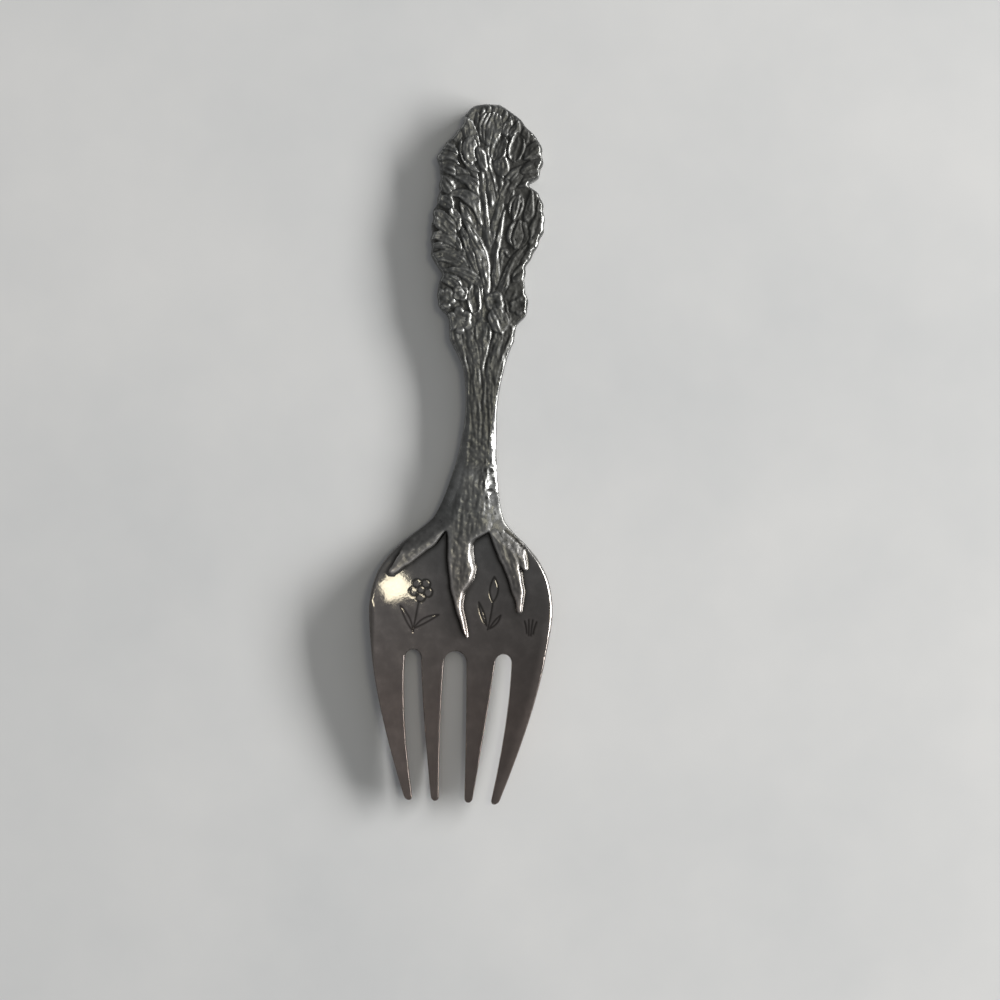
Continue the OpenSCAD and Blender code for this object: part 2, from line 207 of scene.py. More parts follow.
# Side view: underside, thickness and dish at each station, and the middle line in plan
under = curve([(tip_y, tip_rise), (belly_y, 0), (arch_y, arch_rise), (rest_y, 0), (end_y, 0)])
thick = curve([
    (tip_y, tip_t), (slot_y, head_t), (mix(slot_y, neck_y, 0.6), head_t),
    (waist_y, shank_t), (mix(collar_y, end_y, 0.3), handle_t), (end_y, handle_t),
])
dish = curve([(tip_y, dish_depth), (belly_y, dish_depth), (neck_y, 0), (end_y, 0)])
centre_x = curve([
    (tip_y, 0), (mix(slot_y, neck_y, 0.5), 0), (waist_y, waist_shift),
    (mix(waist_y, collar_y, 0.5), waist_shift), (collar_y, handle_shift), (end_y, handle_shift),
])


def middle_z(x, y):
    return under(y) + thick(y) / 2 + dish(y) * (2 * x / head_w) ** 2


# Front view: half-widths of the head and the shank, and shares of the handle's half-width along it
head_shares = [
    (0, 0.92), (0.16, 0.97), (0.32, 1), (0.42, 0.98), (0.56, 0.9), (0.69, 0.73), (0.81, 0.47), (0.91, 0.19),
]
body_half = curve([(mix(slot_y, neck_y, s), mix(neck_w, head_w, share) / 2) for s, share in head_shares] + [
    (neck_y, neck_w / 2), (mix(neck_y, waist_y, 0.28), mix(waist_w, neck_w, 0.49) / 2),
    (mix(neck_y, waist_y, 0.67), mix(waist_w, neck_w, 0.11) / 2), (waist_y, waist_w / 2),
    (mix(waist_y, collar_y, 0.47), mix(waist_w, collar_w, 0.2) / 2), (collar_y, collar_w / 2),
])
left_scallops = curve([
    (0, 0.57), (0.08, 0.6), (0.14, 0.8), (0.2, 0.83), (0.27, 0.78), (0.34, 0.97), (0.45, 1),
    (0.54, 0.98), (0.58, 0.92), (0.7, 0.9), (0.76, 0.97), (0.82, 0.84), (0.9, 0.58), (0.96, 0.49),
    (0.985, 0.4), (1, 0.16),
])
right_scallops = curve([
    (0, 0.57), (0.06, 0.59), (0.12, 0.76), (0.17, 0.78), (0.24, 0.71), (0.3, 0.71), (0.4, 0.88),
    (0.5, 1), (0.58, 0.96), (0.63, 0.88), (0.665, 0.7), (0.7, 0.84), (0.77, 0.91), (0.84, 0.86),
    (0.9, 0.64), (0.96, 0.38), (0.985, 0.22), (1, 0.08),
])


# Small dents between the leaf tips along the handle's edge
fringe_depth = 0.22
fringe_count = 17
fringe_start = (0.1, 0.3)


def edges(y):
    """Left and right edge of the casting at a station above the slot ends."""
    v = (y - collar_y) / handle_len
    fringe = fringe_depth * ease(*fringe_start, v) * np.sin(math.pi * fringe_count * v) ** 2
    on_plate = y > collar_y
    left, right = (
        np.where(on_plate, handle_w / 2 * scallops(v) - fringe, body_half(y))
        for scallops in (left_scallops, right_scallops)
    )
    return centre_x(y) - left, centre_x(y) + right


# Edges of the four tines at their roots, left to right, and where their tips are
side_x = middle_slot_w / 2 + inner_tine_w
root_half = float(edges(np.array(slot_y))[1])
root_edges = [
    (-root_half, -side_x - side_slot_w), (-side_x, middle_slot_shift - middle_slot_w / 2),
    (middle_slot_shift + middle_slot_w / 2, side_x), (side_x + side_slot_w, root_half),
]
tip_places = [tip_shift + gap / 2 for gap in (-outer_tip_gap, -inner_tip_gap, inner_tip_gap, outer_tip_gap)]
slot_widths = [0, side_slot_w, middle_slot_w, side_slot_w, 0]
tine_bend = 1.5
blunt_share = 0.3


def slot_flare(width, d):
    """How much a tine widens beside a slot's round end, at a distance from the end."""
    half = np.sqrt(np.maximum(0, d * (width - d)))
    return width / 2 - np.where(d >= width / 2, width / 2, half)


def tine_edges(i, d):
    """Left and right edge of a tine at a distance from the slot ends."""
    s = d / tine_len
    left, right = root_edges[i]
    middle = mix((left + right) / 2, tip_places[i], s ** tine_bend)
    to_tip = np.clip((tine_len - d) / (tip_w / 2), 0, 1)
    rounded = np.maximum(blunt_share, np.sqrt(1 - (1 - to_tip) ** 2))
    half = mix(right - left, tip_w, s) / 2 * rounded
    return middle - half - slot_flare(slot_widths[i], d), middle + half + slot_flare(slot_widths[i + 1], d)


def resample(points, step):
    """Points at even steps along a line, with both of its ends."""
    lengths = np.concatenate(([0], np.cumsum(np.linalg.norm(np.diff(points, axis=0), axis=1))))
    count = max(1, round(lengths[-1] / step))
    at = np.linspace(0, lengths[-1], count + 1)
    return np.stack([np.interp(at, lengths, points[:, k]) for k in (0, 1)], axis=1)


def side_line(low, high, side, step):
    """Left (side 0) or right (side 1) edge from one station to another."""
    y = np.linspace(low, high, side_samples)
    return resample(np.stack((edges(y)[side], y), axis=1), step)


def tine_line(i, side, step):
    """Left or right edge of a tine, from its root to its tip."""
    d = tine_len * np.linspace(0, 1, tine_samples) ** 2
    return resample(np.stack((tine_edges(i, d)[side], slot_y - d), axis=1), step)


def outline(scale=1):
    """Outline of the casting in plan, counter-clockwise, and where each of its stretches starts."""
    right = [side_line(low, high, 1, step * scale) for low, high, step in bands[1:]]
    left = [side_line(high, low, 0, step * scale) for low, high, step in bands[:0:-1]]
    stretches = right + [resample(np.array([right[2][-1], left[0][0]]), handle_step * scale)] + left
    for i in range(tine_count):
        down = tine_line(i, 0, tine_step * scale)
        up = tine_line(i, 1, tine_step * scale)[::-1]
        stretches += [down, resample(np.array([down[-1], up[0]]), tine_step * scale), up]
    starts = np.cumsum([0] + [len(s) - 1 for s in stretches])
    return np.concatenate([s[:-1] for s in stretches]), starts


# Edges of the front: a narrow side wall, then a bevel that is shallower in spots along the handle
side_wall = 0.14
wall_shares = (0.12, 0.45)
least_bevel = 0.15
bevel_bend = 1.15
spot_gap = 1.9
spot_levels = (-0.1, 0.3)
spot_share = 0.5
spot_fade = 4
bevel_slope = curve([
    (tip_y, 0.5), (slot_y, 0.6), (slot_y + 8, 0.7), (neck_y - 6, 0.8), (neck_y - 2, 0.1),
    (neck_y + 6, 0.1), (neck_y + 7.7, 0.3), (neck_y + 9.5, 0.7), (end_y, 0.7),
])
bevel_w = curve([
    (tip_y, 0.12), (slot_y, 0.22), (slot_y + 8, 0.45), (neck_y - 4, 0.5), (neck_y + 1, 1.3),
    (neck_y + 5, 1.6), (neck_y + 8, 1.3), (neck_y + 11, 1.1), (waist_y - 3, 0.85), (waist_y + 2, 0.45),
    (collar_y, 0.42), (end_y, 0.42),
])

# Rounded edges of the back
back_radius = curve([
    (tip_y, 0.5), (slot_y, 0.65), (neck_y - 4, 1.0), (waist_y, 1.7), (collar_y - 4, 1.2), (end_y, 0.6),
])


def edge_w(y, share=1.0):
    """Width of the side wall and a share of the bevel."""
    return side_wall + share * np.maximum(least_bevel, bevel_w(y) - side_wall)


def rounding(inset, radius):
    """Share of a rounded edge's height that is reached at a distance in from the outline."""
    share = np.clip(inset / radius, 0, 1)
    return np.sqrt(1 - (1 - share) ** 2)


def front_drop(inset, y):
    """How far the front lies below its full height near the outline."""
    on_scallops = ease(collar_y, collar_y + spot_fade, y)
    spots = on_scallops * ease(*spot_levels, noise(y / spot_gap, y * 0))
    bevel = bevel_slope(y) * bevel_w(y) * (1 - spot_share * spots)
    on_bevel = np.clip(1 - inset / bevel_w(y), 0, 1)
    return bevel * on_bevel ** bevel_bend + (thick(y) / 2 - bevel) * (1 - rounding(inset, side_wall))


# The right edge of the head and of its last tine is worn round over a broader band
outer_w = 1.5
outer_bend = 2
outer_depth = curve([(tip_y, 0.4), (slot_y, 0.6), (slot_y + 8, 0.3), (neck_y - 6, 0), (end_y, 0)])


def outer_band(x, y):
    """Share that grows to 1 at the right edge of the head and of its last tine."""
    d = np.clip(slot_y - y, 0, tine_len)
    right = np.where(y < slot_y, tine_edges(tine_count - 1, d)[1], edges(y)[1])
    return np.clip(1 - (right - x) / outer_w, 0, 1) ** outer_bend


# Plan of the mesh: the outline, the lines that divide the casting, rings along the edges and a grid
border_points, starts = outline()
fine_border, _ = outline(fine_scale)
border_tree = kdtree.KDTree(len(fine_border))
for index, point in enumerate(fine_border):
    border_tree.insert((*point, 0), index)
border_tree.balance()


def inset_of(points):
    """Distance of each point from the outline."""
    return np.array([border_tree.find((x, y, 0))[2] for x, y in points])


def dividing_lines():
    """Points between the outline's points on the dividing lines, and the edges along those lines."""
    # Stretches of the outline: 0 to 2 up the right side, 3 the end, 4 to 6 down the left, then 3 a tine
    slot_tops = [starts[7 + 3 * i] for i in range(tine_count)] + [starts[0]]
    lines = [(starts[5], starts[2], handle_step), (starts[6], starts[1], shank_step)]
    lines += [(slot_tops[i], slot_tops[i + 1], head_step) for i in range(tine_count)]
    points, links = [], []
    for first, last, step in lines:
        ends = border_points[[first, last]]
        inner = resample(ends, step)[1:-1]
        across = (ends[1] - ends[0]) / np.linalg.norm(ends[1] - ends[0])
        depth = side_wall * np.array(wall_shares)
        close = np.concatenate((ends[0] + np.outer(depth, across), ends[1] - np.outer(depth[::-1], across)))
        upright = inset_of(close) > line_share * np.concatenate((depth, depth[::-1]))
        count = len(depth)
        inner = np.concatenate((close[:count][upright[:count]], inner, close[count:][upright[count:]]))
        numbers = len(border_points) + len(points) + np.arange(len(inner))
        chain = [first, *numbers, last]
        links += list(zip(chain[:-1], chain[1:]))
        points += list(inner)
    return np.array(points), links


line_points, line_links = dividing_lines()
fixed = np.concatenate((border_points, line_points))
border_count = len(border_points)
border_links = [(k, (k + 1) % border_count) for k in range(border_count)]
fixed_links = border_links + [(int(a), int(b)) for a, b in line_links]

ahead = np.roll(border_points, -1, axis=0) - np.roll(border_points, 1, axis=0)
ahead /= np.linalg.norm(ahead, axis=1)[:, None]
inward = np.stack((-ahead[:, 1], ahead[:, 0]), axis=1)
cut_stations = np.array([slot_y, neck_y, collar_y])


def off_cuts(points, gap):
    """Which points keep a gap from the dividing lines."""
    return np.abs(points[:, 1][:, None] - cut_stations).min(axis=1) > gap


def edge_rings(bevel_shares):
    """Points along the edges, and how far each is in from the outline."""
    y = border_points[:, 1]
    depths = [np.full(len(y), side_wall * share) for share in wall_shares]
    depths += [edge_w(y, share) for share in bevel_shares]
    rings, insets = [], []
    for depth in depths:
        points = border_points + inward * depth[:, None]
        keep = (inset_of(points) > depth * ring_share) & off_cuts(points, ring_cut_gap)
        rings.append(points[keep])
        insets.append(depth[keep])
    return np.concatenate(rings), np.concatenate(insets)


def is_inside(points):
    """Which points lie on the casting."""
    x, y = points.T
    left, right = edges(np.maximum(y, slot_y))
    inside = (y >= slot_y) & (x > left) & (x < right)
    d = np.clip(slot_y - y, 0, tine_len)
    for i in range(tine_count):
        left, right = tine_edges(i, d)
        inside |= (y < slot_y) & (x > left) & (x < right)
    return inside


def grid(low, high, step):
    """Even triangular grid of points over a box that lie on the casting, clear of its edges and cuts."""
    row_gap = step * math.sqrt(0.75)
    rows = np.arange(low[1], high[1], row_gap)
    columns = np.arange(low[0], high[0], step)
    x, y = np.meshgrid(columns, rows)
    x = x + (np.arange(len(rows)) % 2)[:, None] * step / 2
    points = np.stack((x.ravel(), y.ravel()), axis=1)
    points = points[is_inside(points)]
    inset = inset_of(points)
    clear = inset > edge_w(points[:, 1]) + step * grid_share
    keep = clear & off_cuts(points, step * grid_cut_share)
    return points[keep], inset[keep]


# Half the width that the grids cover
wide = head_w / 2 + 1

# Boxes round the engraved motifs and the roots on the head, where the grid is closer
close_boxes = [
    ((-11, -31), (-2.6, -20), engraved_step), ((1.8, -29.6), (8.2, -19), engraved_step),
    ((9.6, -30.2), (13.6, -25.6), engraved_step), ((6.2, -15.4), (10.6, -11.4), engraved_step),
    ((-12.6, -20), (-2.6, neck_y), root_step), ((-2.6, -31), (1.8, neck_y), root_step),
    ((1.8, -19), (6.2, neck_y), root_step), ((6.2, -19), (11.4, -15.4), root_step),
    ((8.2, -25.6), (11.4, -19), root_step),
]


def in_close_boxes(points):
    """Which points lie in a box with a closer grid."""
    found = np.zeros(len(points), bool)
    for low, high, _ in close_boxes:
        found |= ((points > low) & (points < high)).all(axis=1)
    return found


def front_grid():
    """Grid points of the front with their insets, closest where the relief is finest."""
    parts = [grid((-wide, low), (wide, high), step) for low, high, step in bands]
    points, inset = parts[1]
    coarse = ~in_close_boxes(points)
    parts[1] = points[coarse], inset[coarse]
    parts += [grid(*box) for box in close_boxes]
    return np.concatenate([p for p, _ in parts]), np.concatenate([i for _, i in parts])


def triangulate(points, links):
    """Triangles over the plan inside the links, counter-clockwise."""
    inside_links = 1
    found = delaunay_2d_cdt([Vector(p) for p in points], links, [], inside_links, merge_gap)
    if len(found[0]) != len(points):
        raise ValueError("the plan has points that coincide")
    triangles = np.array(found[2])
    a, b, c = (points[triangles[:, k]] for k in range(3))
    turned = (b - a)[:, 0] * (c - a)[:, 1] - (b - a)[:, 1] * (c - a)[:, 0] < 0
    triangles[turned] = triangles[turned][:, ::-1]
    return triangles


fixed_inset = np.concatenate((np.zeros(border_count), inset_of(line_points)))
ring_points, ring_inset = edge_rings(front_rings)
grid_points, grid_inset = front_grid()
front_plan = np.concatenate((fixed, ring_points, grid_points))
front_inset = np.concatenate((fixed_inset, ring_inset, grid_inset))
front_faces = triangulate(front_plan, fixed_links)
back_ring_points, back_ring_inset = edge_rings(back_rings)
back_points, back_inset = grid((-wide, tip_y), (wide, end_y), back_step)
back_plan = np.concatenate((fixed, back_ring_points, back_points))
back_inset = np.concatenate((fixed_inset, back_ring_inset, back_inset))
back_faces = triangulate(back_plan, fixed_links)


def regions_of(plan, faces):
    """Number of the region that each triangle lies in."""
    x, y = plan[faces].mean(axis=1).T
    region = np.where(y > collar_y, HANDLE, np.where(y > neck_y, SHANK, HEAD))
    d = np.clip(slot_y - y, 0, tine_len)
    between = [(tine_edges(i, d)[1] + tine_edges(i + 1, d)[0]) / 2 for i in range(tine_count - 1)]
    tine = sum((x > b).astype(int) for b in between)
    return np.where(y < slot_y, tine, region)


front_region = regions_of(front_plan, front_faces)
back_region = regions_of(back_plan, back_faces)

# Relief of the front: height over the plain surface, and which raised part each point belongs to
front_x, front_y = front_plan.T
height = np.zeros(len(front_plan))
owner = np.full(len(front_plan), -1)

# Hand-cut forms are uneven: their outlines waver, and their walls stand higher in some places than others
waver = 0.16
waver_step = 1.7
relief_plan = front_plan + waver * np.column_stack((
    noise(front_x / waver_step + 5, front_y / waver_step + 9),
    noise(front_x / waver_step + 31, front_y / waver_step + 57),
))
foot_step = 1.4
foot_mean = 0.5
foot_sway = 0.45
foot_range = (0.25, 0.85)
wall_foot = np.clip(foot_mean + foot_sway * noise(front_x / foot_step, front_y / foot_step), *foot_range)


def on_handle(u, v):
    """Point across and along the handle, as shares of its half-width and length."""
    y = collar_y + v * handle_len
    return np.array([float(centre_x(y)) + u * handle_w / 2, y])


def bend(path):
    """Points along a smooth curve with two to four control points."""
    s = np.linspace(0, 1, bend_points)[:, None]
    points = [np.array(p, float)[None] for p in path]
    while len(points) > 1:
        points = [mix(a, b, s) for a, b in zip(points[:-1], points[1:])]
    return points[0]


def along(path, reach, plan=relief_plan):
    """Points near a curve: their numbers, place along it from 0 to 1, distance, and side of it."""
    line = bend(path)
    near = ((plan > line.min(axis=0) - reach) & (plan < line.max(axis=0) + reach)).all(axis=1)
    numbers = np.flatnonzero(near)
    step = np.diff(line, axis=0)
    offset = plan[numbers][:, None] - line[None, :-1]
    t = np.clip((offset * step).sum(axis=2) / (step ** 2).sum(axis=1), 0, 1)
    gap = offset - t[:, :, None] * step
    best = (gap ** 2).sum(axis=2).argmin(axis=1)
    row = np.arange(len(numbers))
    gap = gap[row, best]
    place = (best + t[row, best]) / len(step)
    side = step[best, 0] * gap[:, 1] - step[best, 1] * gap[:, 0]
    return numbers, place, np.linalg.norm(gap, axis=1), np.sign(side)


def give(numbers, part):
    """Gives points to a raised part, or to the plain metal."""
    owner[numbers] = -1 if part is None else RAISED.index(part)


# Widths along a strand as shares of its full width
def stem_shape(s):
    return np.sqrt(np.minimum(1, 0.05 + 4 * s)) * (1 - 0.35 * s)


def leaf_shape(s):
    return 0.22 + 0.78 * np.sin(np.pi * s ** 0.8)


def petal_shape(s):
    return 0.3 + 0.7 * np.sin(np.pi * (0.12 + 0.8 * s))


def oval_shape(s):
    return 0.25 + 0.75 * np.sqrt(np.maximum(0, 1 - (2 * s - 1) ** 2))


def lane_shape(s):
    return 0.4 + 0.6 * s


def drop_shape(s):
    return 0.14 + 0.86 * np.sin(np.pi * s ** 3)


# Heights across a strand as shares of its full height, from its middle at 0 to its edge at 1
def ribbed(q, ribs, depth):
    """Ridges across a form, with the given count from its middle to its edge."""
    return 1 - depth * (1 - np.cos(2 * math.pi * ribs * q)) / 2


def stem_profile(q):
    return ribbed(q, 1, 0.3) * (1 - 0.2 * q * q)


def leaf_profile(q):
    return ribbed(q, 1.5, 0.18)


def petal_profile(q):
    return ribbed(q, 2, 0.1) * (0.84 + 0.16 * np.sqrt(1 - q * q))


def open_profile(q):
    return 0.2 + 0.7 * np.exp(-((q - 0.76) / 0.18) ** 2)


def dome_profile(q):
    return 0.75 + 0.25 * np.sqrt(1 - q * q)


def root_profile(q):
    return 1 - 0.3 * q ** 8


# Heights, widths and tapers of the raised work
stem_h = 0.33
leaf_h = 0.42
blossom_h = 0.5
root_h = 1.1
fill_h = 0.26
lane_h = 0.24
root_ramp = 0.35
root_wall = 0.27
root_facet = 0.8
facet_share = 0.25
facet_bend = 0.9
root_foot = 0.2
root_start = 0.8
root_narrows = 0.72
root_sinks = 0.35
trunk_fade = 4
bark_depth = 0.055
bark_mean = 0.5
bark_w = 0.3
vein_depth = 0.1
vein_w = 0.3
fullness = 1.25

# Each form stands over what it crosses, with a wall up to it and a groove cut round it
wall_w = 0.2
groove_w = 0.15

# How far forms lean to a side, and the streaks along them: lengths and finer ones as shares of the width
lean_share = 0.25
lean_seed = 37
streak_seed = 17
streak_len = 6
fine_streak = 0.6
fine_streak_len = 3
fine_level = 0.7


def streaks_along(path, place, offset, width):
    """Random streaks that run along a curve, for points at a place along it and an offset across it."""
    line = bend(path)
    length = np.linalg.norm(np.diff(line, axis=0), axis=1).sum()
    seed = streak_seed * line[0].sum()
    broad = noise(offset / width + seed, place * length / (streak_len * width))
    fine = noise(offset / (fine_streak * width) + 2 * seed, place * length / (fine_streak_len * width))
    return broad + fine_level * fine


def groove_round(numbers, outside, started=1.0):
    """Cuts a groove round a form into what it crosses, and returns how high its own wall stands."""
    foot = wall_foot[numbers]
    beside = (outside >= 0) & (outside < groove_w)
    cut = 1 - started * (1 - mix(foot, 1, ease(0, groove_w, outside)))
    height[numbers[beside]] *= cut[beside]
    return mix(foot, 1, ease(0, wall_w, -outside))


def strand(path, width, top, shape, profile, part, start_rise=0.0):
    """Raises a strand along a curve, such as a stem, a leaf or a petal."""
    numbers, place, gap, side = along(path, width / 2 + groove_w)
    half = width / 2 * shape(place)
    started = ease(0, start_rise, place) if start_rise else np.ones(len(place))
    wall = groove_round(numbers, gap - half, started)
    veins = vein_depth * streaks_along(path, place, gap * side, vein_w)
    across = np.minimum(1, gap / half)
    lean = lean_share * math.sin(lean_seed * sum(path[0]))
    level = (top * (profile(across) + lean * across * side) + veins) * wall * started
    level = np.maximum(level, height[numbers] * (1 - started))
    on_it = gap < half
    height[numbers[on_it]] = level[on_it]
    give(numbers[on_it & (started > 0.5)], part)


def raise_over(numbers, inside, level, part):
    """Raises points to a level where that is over what is there, and gives them to a part."""
    higher = inside & (level > height[numbers])
    height[numbers[higher]] = level[higher]
    give(numbers[higher], part)


def root_strand(path, width, taper, part):
    """Raises a root that grows out of the trunk, with bark along it."""
    numbers, place, gap, side = along(path, width / 2)
    half = width / 2 * np.minimum(1, root_start + place) * (1 - root_narrows * place ** taper)
    wall = ease(0, root_wall, half - gap)
    rise = ease(0, root_ramp, place)
    level = root_h * (1 - root_sinks * place ** taper) * root_profile(np.minimum(1, gap / half))
    level = rise * wall * (level + bark_depth * (streaks_along(path, place, gap * side, bark_w) - bark_mean))
    raise_over(numbers, gap < half, level, part)


def root_between(stations, part):
    """Raises a root between its left and right edges, with a broad facet down its right side."""
    y, left, right = np.array(stations, float)[::-1].T
    numbers = np.flatnonzero((front_y > y[0]) & (front_y < y[-1]) & (np.abs(front_x) < neck_w))
    x, at = relief_plan[numbers].T
    from_left = x - curve(np.column_stack((y, left)))(at)
    from_right = curve(np.column_stack((y, right)))(at) - x
    facet_w = np.minimum(root_facet, facet_share * (from_left + from_right))
    facet = np.clip(from_right / facet_w, 0, 1) ** facet_bend
    path = [(0, y[k]) for k in (-1, 0)]
    rounded = facet * rounding(np.maximum(0, from_left), root_wall)
    level = root_h * mix(root_foot, 1, rounded)
    level += bark_depth * (streaks_along(path, (at - y[0]) / (y[-1] - y[0]), x, bark_w) - bark_mean)
    level *= ease(0, root_wall, np.minimum(from_left, from_right)) * ease(y[-1], y[-1] - trunk_fade, at)
    raise_over(numbers, (from_left > 0) & (from_right > 0), level, part)


# Petals of a tulip, as shares of its size, and how far each turns to a side
petal_wide = 1.2
petal_crowding = 0.85
bulge_at = 0.35
bulge_out = 0.62
tip_out = 0.36
tip_falls = 0.08
side_falls = 0.18
five_petals = (-1, 1, -0.5, 0.5, 0)
three_petals = (-0.8, 0.8, 0)


def tulip(base, tip, width, turns, part):
    """Raises a tulip: petals that cup each other, each turned to a side, the middle one in front."""
    base, tip = on_handle(*base), on_handle(*tip)
    length = tip - base
    side = np.array([length[1], -length[0]]) / np.linalg.norm(length) * width
    petal_w = width * petal_wide / (len(turns) - 1) ** petal_crowding
    for turn in turns:
        bulge = base + length * bulge_at + side * turn * bulge_out
        end = base + length * (1 - tip_falls * abs(turn)) + side * turn * tip_out
        level = blossom_h * (1 - side_falls * abs(turn))
        strand([base, bulge, end], petal_w, level, petal_shape, petal_profile, part)


# Petals of an open bloom, as shares of its radius and height
petal_notch = 0.2
rim_at = 0.76
rim_w = 0.17
rim_rise = 0.32
eye_share = 0.3
bloom_base = 0.55
fold_depth = 0.25
fold_from = (0.3, 0.6)
fold_w = 0.4


def bloom(middle, radius, petals, turn, eye_level, part):
    """Raises an open bloom: a ring of rimmed petals round a raised or sunk eye."""
    offset = relief_plan - on_handle(*middle)
    away = np.hypot(*offset.T)
    numbers = np.flatnonzero(away < radius + groove_w)
    away = away[numbers]
    angle = np.arctan2(offset[numbers, 1], offset[numbers, 0]) + turn
    wave = np.abs(np.cos(petals * angle / 2))
    edge = radius * (1 - petal_notch + petal_notch * wave)
    wall = groove_round(numbers, away - edge)
    q = away / edge
    rim = np.exp(-((q - rim_at) / rim_w) ** 2)
    eye = eye_level * np.exp(-(q / eye_share) ** 4)
    fold = fold_depth * ease(*fold_from, q) * (1 - ease(0, fold_w, wave))
    level = blossom_h * wall * (bloom_base + rim_rise * rim + eye - fold)
    on_it = away < edge
    height[numbers[on_it]] = np.maximum(0, level)[on_it]
    give(numbers[on_it], part)


# Stems, lanes and leaves: three points across and along the handle, and a width. Later ones lie on top
stems = [
    ((0.44, 0.04), (0.47, 0.11), (0.38, 0.17), 0.8),
    ((0.12, 0.62), (0.05, 0.68), (-0.09, 0.78), 0.9),
    ((0.2, 0.6), (0.22, 0.66), (0.18, 0.72), 0.9),
    ((0.06, 0.55), (0.03, 0.66), (-0.15, 0.735), 1.2),
    ((0.2, 0.32), (0.26, 0.42), (0.4, 0.36), 0.9),
    ((0.19, 0.21), (0.16, 0.33), (0.22, 0.43), 1.0),
    ((0.27, 0.19), (0.36, 0.3), (0.68, 0.405), 1.5),
    ((0.08, 0.39), (0.12, 0.54), (0.3, 0.67), 1.1),
    ((0.05, 0.37), (-0.06, 0.52), (-0.17, 0.71), 1.2),
]
lanes = [
    ((-0.27, -0.19), (-0.28, -0.08), (-0.46, 0.03), 1.8),
    ((-0.125, -0.23), (-0.13, -0.1), (-0.22, 0.03), 2.3),
    ((0.12, -0.22), (0.16, -0.1), (0.38, 0.04), 2.6),
]
left_leaves = [
    ((-0.6, 0.77), (-0.74, 0.81), (-0.86, 0.8), 1.6),
    ((-0.58, 0.74), (-0.78, 0.78), (-1.0, 0.76), 1.8),
    ((-0.56, 0.69), (-0.75, 0.74), (-0.96, 0.72), 1.8),
    ((-0.62, 0.6), (-0.8, 0.66), (-0.92, 0.69), 2.0),
    ((-0.22, 0.67), (-0.32, 0.7), (-0.44, 0.725), 1.4),
    ((-0.32, 0.65), (-0.5, 0.7), (-0.62, 0.725), 1.8),
    ((-0.64, 0.55), (-0.78, 0.59), (-0.97, 0.585), 1.8),
    ((-0.09, 0.56), (-0.19, 0.68), (-0.62, 0.685), 1.9),
    ((-0.13, 0.49), (-0.27, 0.65), (-0.7, 0.6), 1.9),
    ((-0.24, 0.46), (-0.4, 0.53), (-0.49, 0.575), 1.8),
    ((-0.28, 0.3), (-0.55, 0.38), (-1.0, 0.33), 2.3),
    ((-0.38, 0.35), (-0.62, 0.41), (-1.04, 0.38), 1.6),
    ((-0.46, 0.37), (-0.66, 0.455), (-1.04, 0.42), 1.8),
    ((-0.1, 0.21), (-0.16, 0.3), (-0.38, 0.35), 1.1),
    ((-0.42, 0.215), (-0.62, 0.255), (-0.84, 0.265), 1.8),
    ((-0.05, 0.19), (-0.22, 0.31), (-0.76, 0.285), 1.7),
    ((-0.14, 0.28), (-0.28, 0.4), (-0.51, 0.48), 1.6),
    ((0.055, 0.185), (-0.03, 0.4), (-0.43, 0.495), 1.7),
]
right_leaves = [
    ((0.5, 0.25), (0.64, 0.31), (0.8, 0.32), 1.7),
    ((0.42, 0.655), (0.6, 0.7), (0.8, 0.68), 2.0),
    ((0.27, 0.64), (0.42, 0.7), (0.62, 0.75), 2.1),
    ((0.64, 0.38), (1.0, 0.46), (0.9, 0.62), 2.6),
    ((0.64, 0.51), (0.74, 0.56), (0.72, 0.65), 1.4),
    ((0.21, 0.4), (0.11, 0.48), (0.27, 0.55), 1.2),
]
crown_leaves = [
    ((-0.23, 0.81), (-0.32, 0.86), (-0.4, 0.92), 1.0),
    ((-0.2, 0.71), (-0.54, 0.745), (-0.56, 0.84), 1.1),
    ((-0.03, 0.745), (-0.1, 0.79), (-0.09, 0.845), 1.0),
    ((0.17, 0.86), (0.26, 0.9), (0.27, 0.95), 1.4),
    ((0.3, 0.86), (0.4, 0.89), (0.42, 0.93), 1.4),
    ((0.5, 0.83), (0.57, 0.87), (0.55, 0.91), 1.3),
]

# Buds, closed, open and smooth: base, tip, width. Tulips are listed in the same way
crown_buds = [
    ((-0.43, 0.848), (-0.5, 0.928), 1.6),
    ((-0.35, 0.747), (-0.41, 0.85), 2.2),
    ((-0.12, 0.72), (-0.24, 0.81), 1.4),
]
crown_open = [((0.06, 0.76), (0.17, 0.86), 2.5), ((0.39, 0.765), (0.43, 0.87), 2.4)]
crown_smooth = [
    ((0.2, 0.695), (0.15, 0.785), 2.2), ((0.52, 0.715), (0.86, 0.76), 1.8),
    ((0.58, 0.775), (0.82, 0.845), 2.0),
]
crown_tulips = [((-0.09, 0.828), (-0.03, 0.96), 3.3)]
left_buds = [((-0.52, 0.455), (-0.65, 0.55), 1.5), ((-0.58, 0.45), (-0.98, 0.525), 2.4)]
right_tulips = [((0.5, 0.4), (0.55, 0.505), 2.9), ((0.43, 0.52), (0.49, 0.615), 2.0)]

# Collar blooms: middle, radius, petals, turn and level of the eye, with buds among them
collar_blooms = [
    ((-0.68, 0.165), 1.9, 5, 0.2, 0.3), ((-0.42, 0.19), 1.5, 4, 0.9, 0.2), ((-0.41, 0.075), 2.2, 6, 0.4, 0.3),
    ((0.19, 0.165), 1.7, 4, 0.5, -0.4), ((0.61, 0.15), 1.65, 6, 0.5, -0.45),
]
collar_open = ((-0.15, 0.11), (-0.2, 0.228), 2.1)
collar_smooth = ((0.35, 0.035), (0.21, 0.132), 2.7)
collar_bud = ((-0.01, -0.2), (0.02, -0.05), (-0.005, 0.092), 2.3)

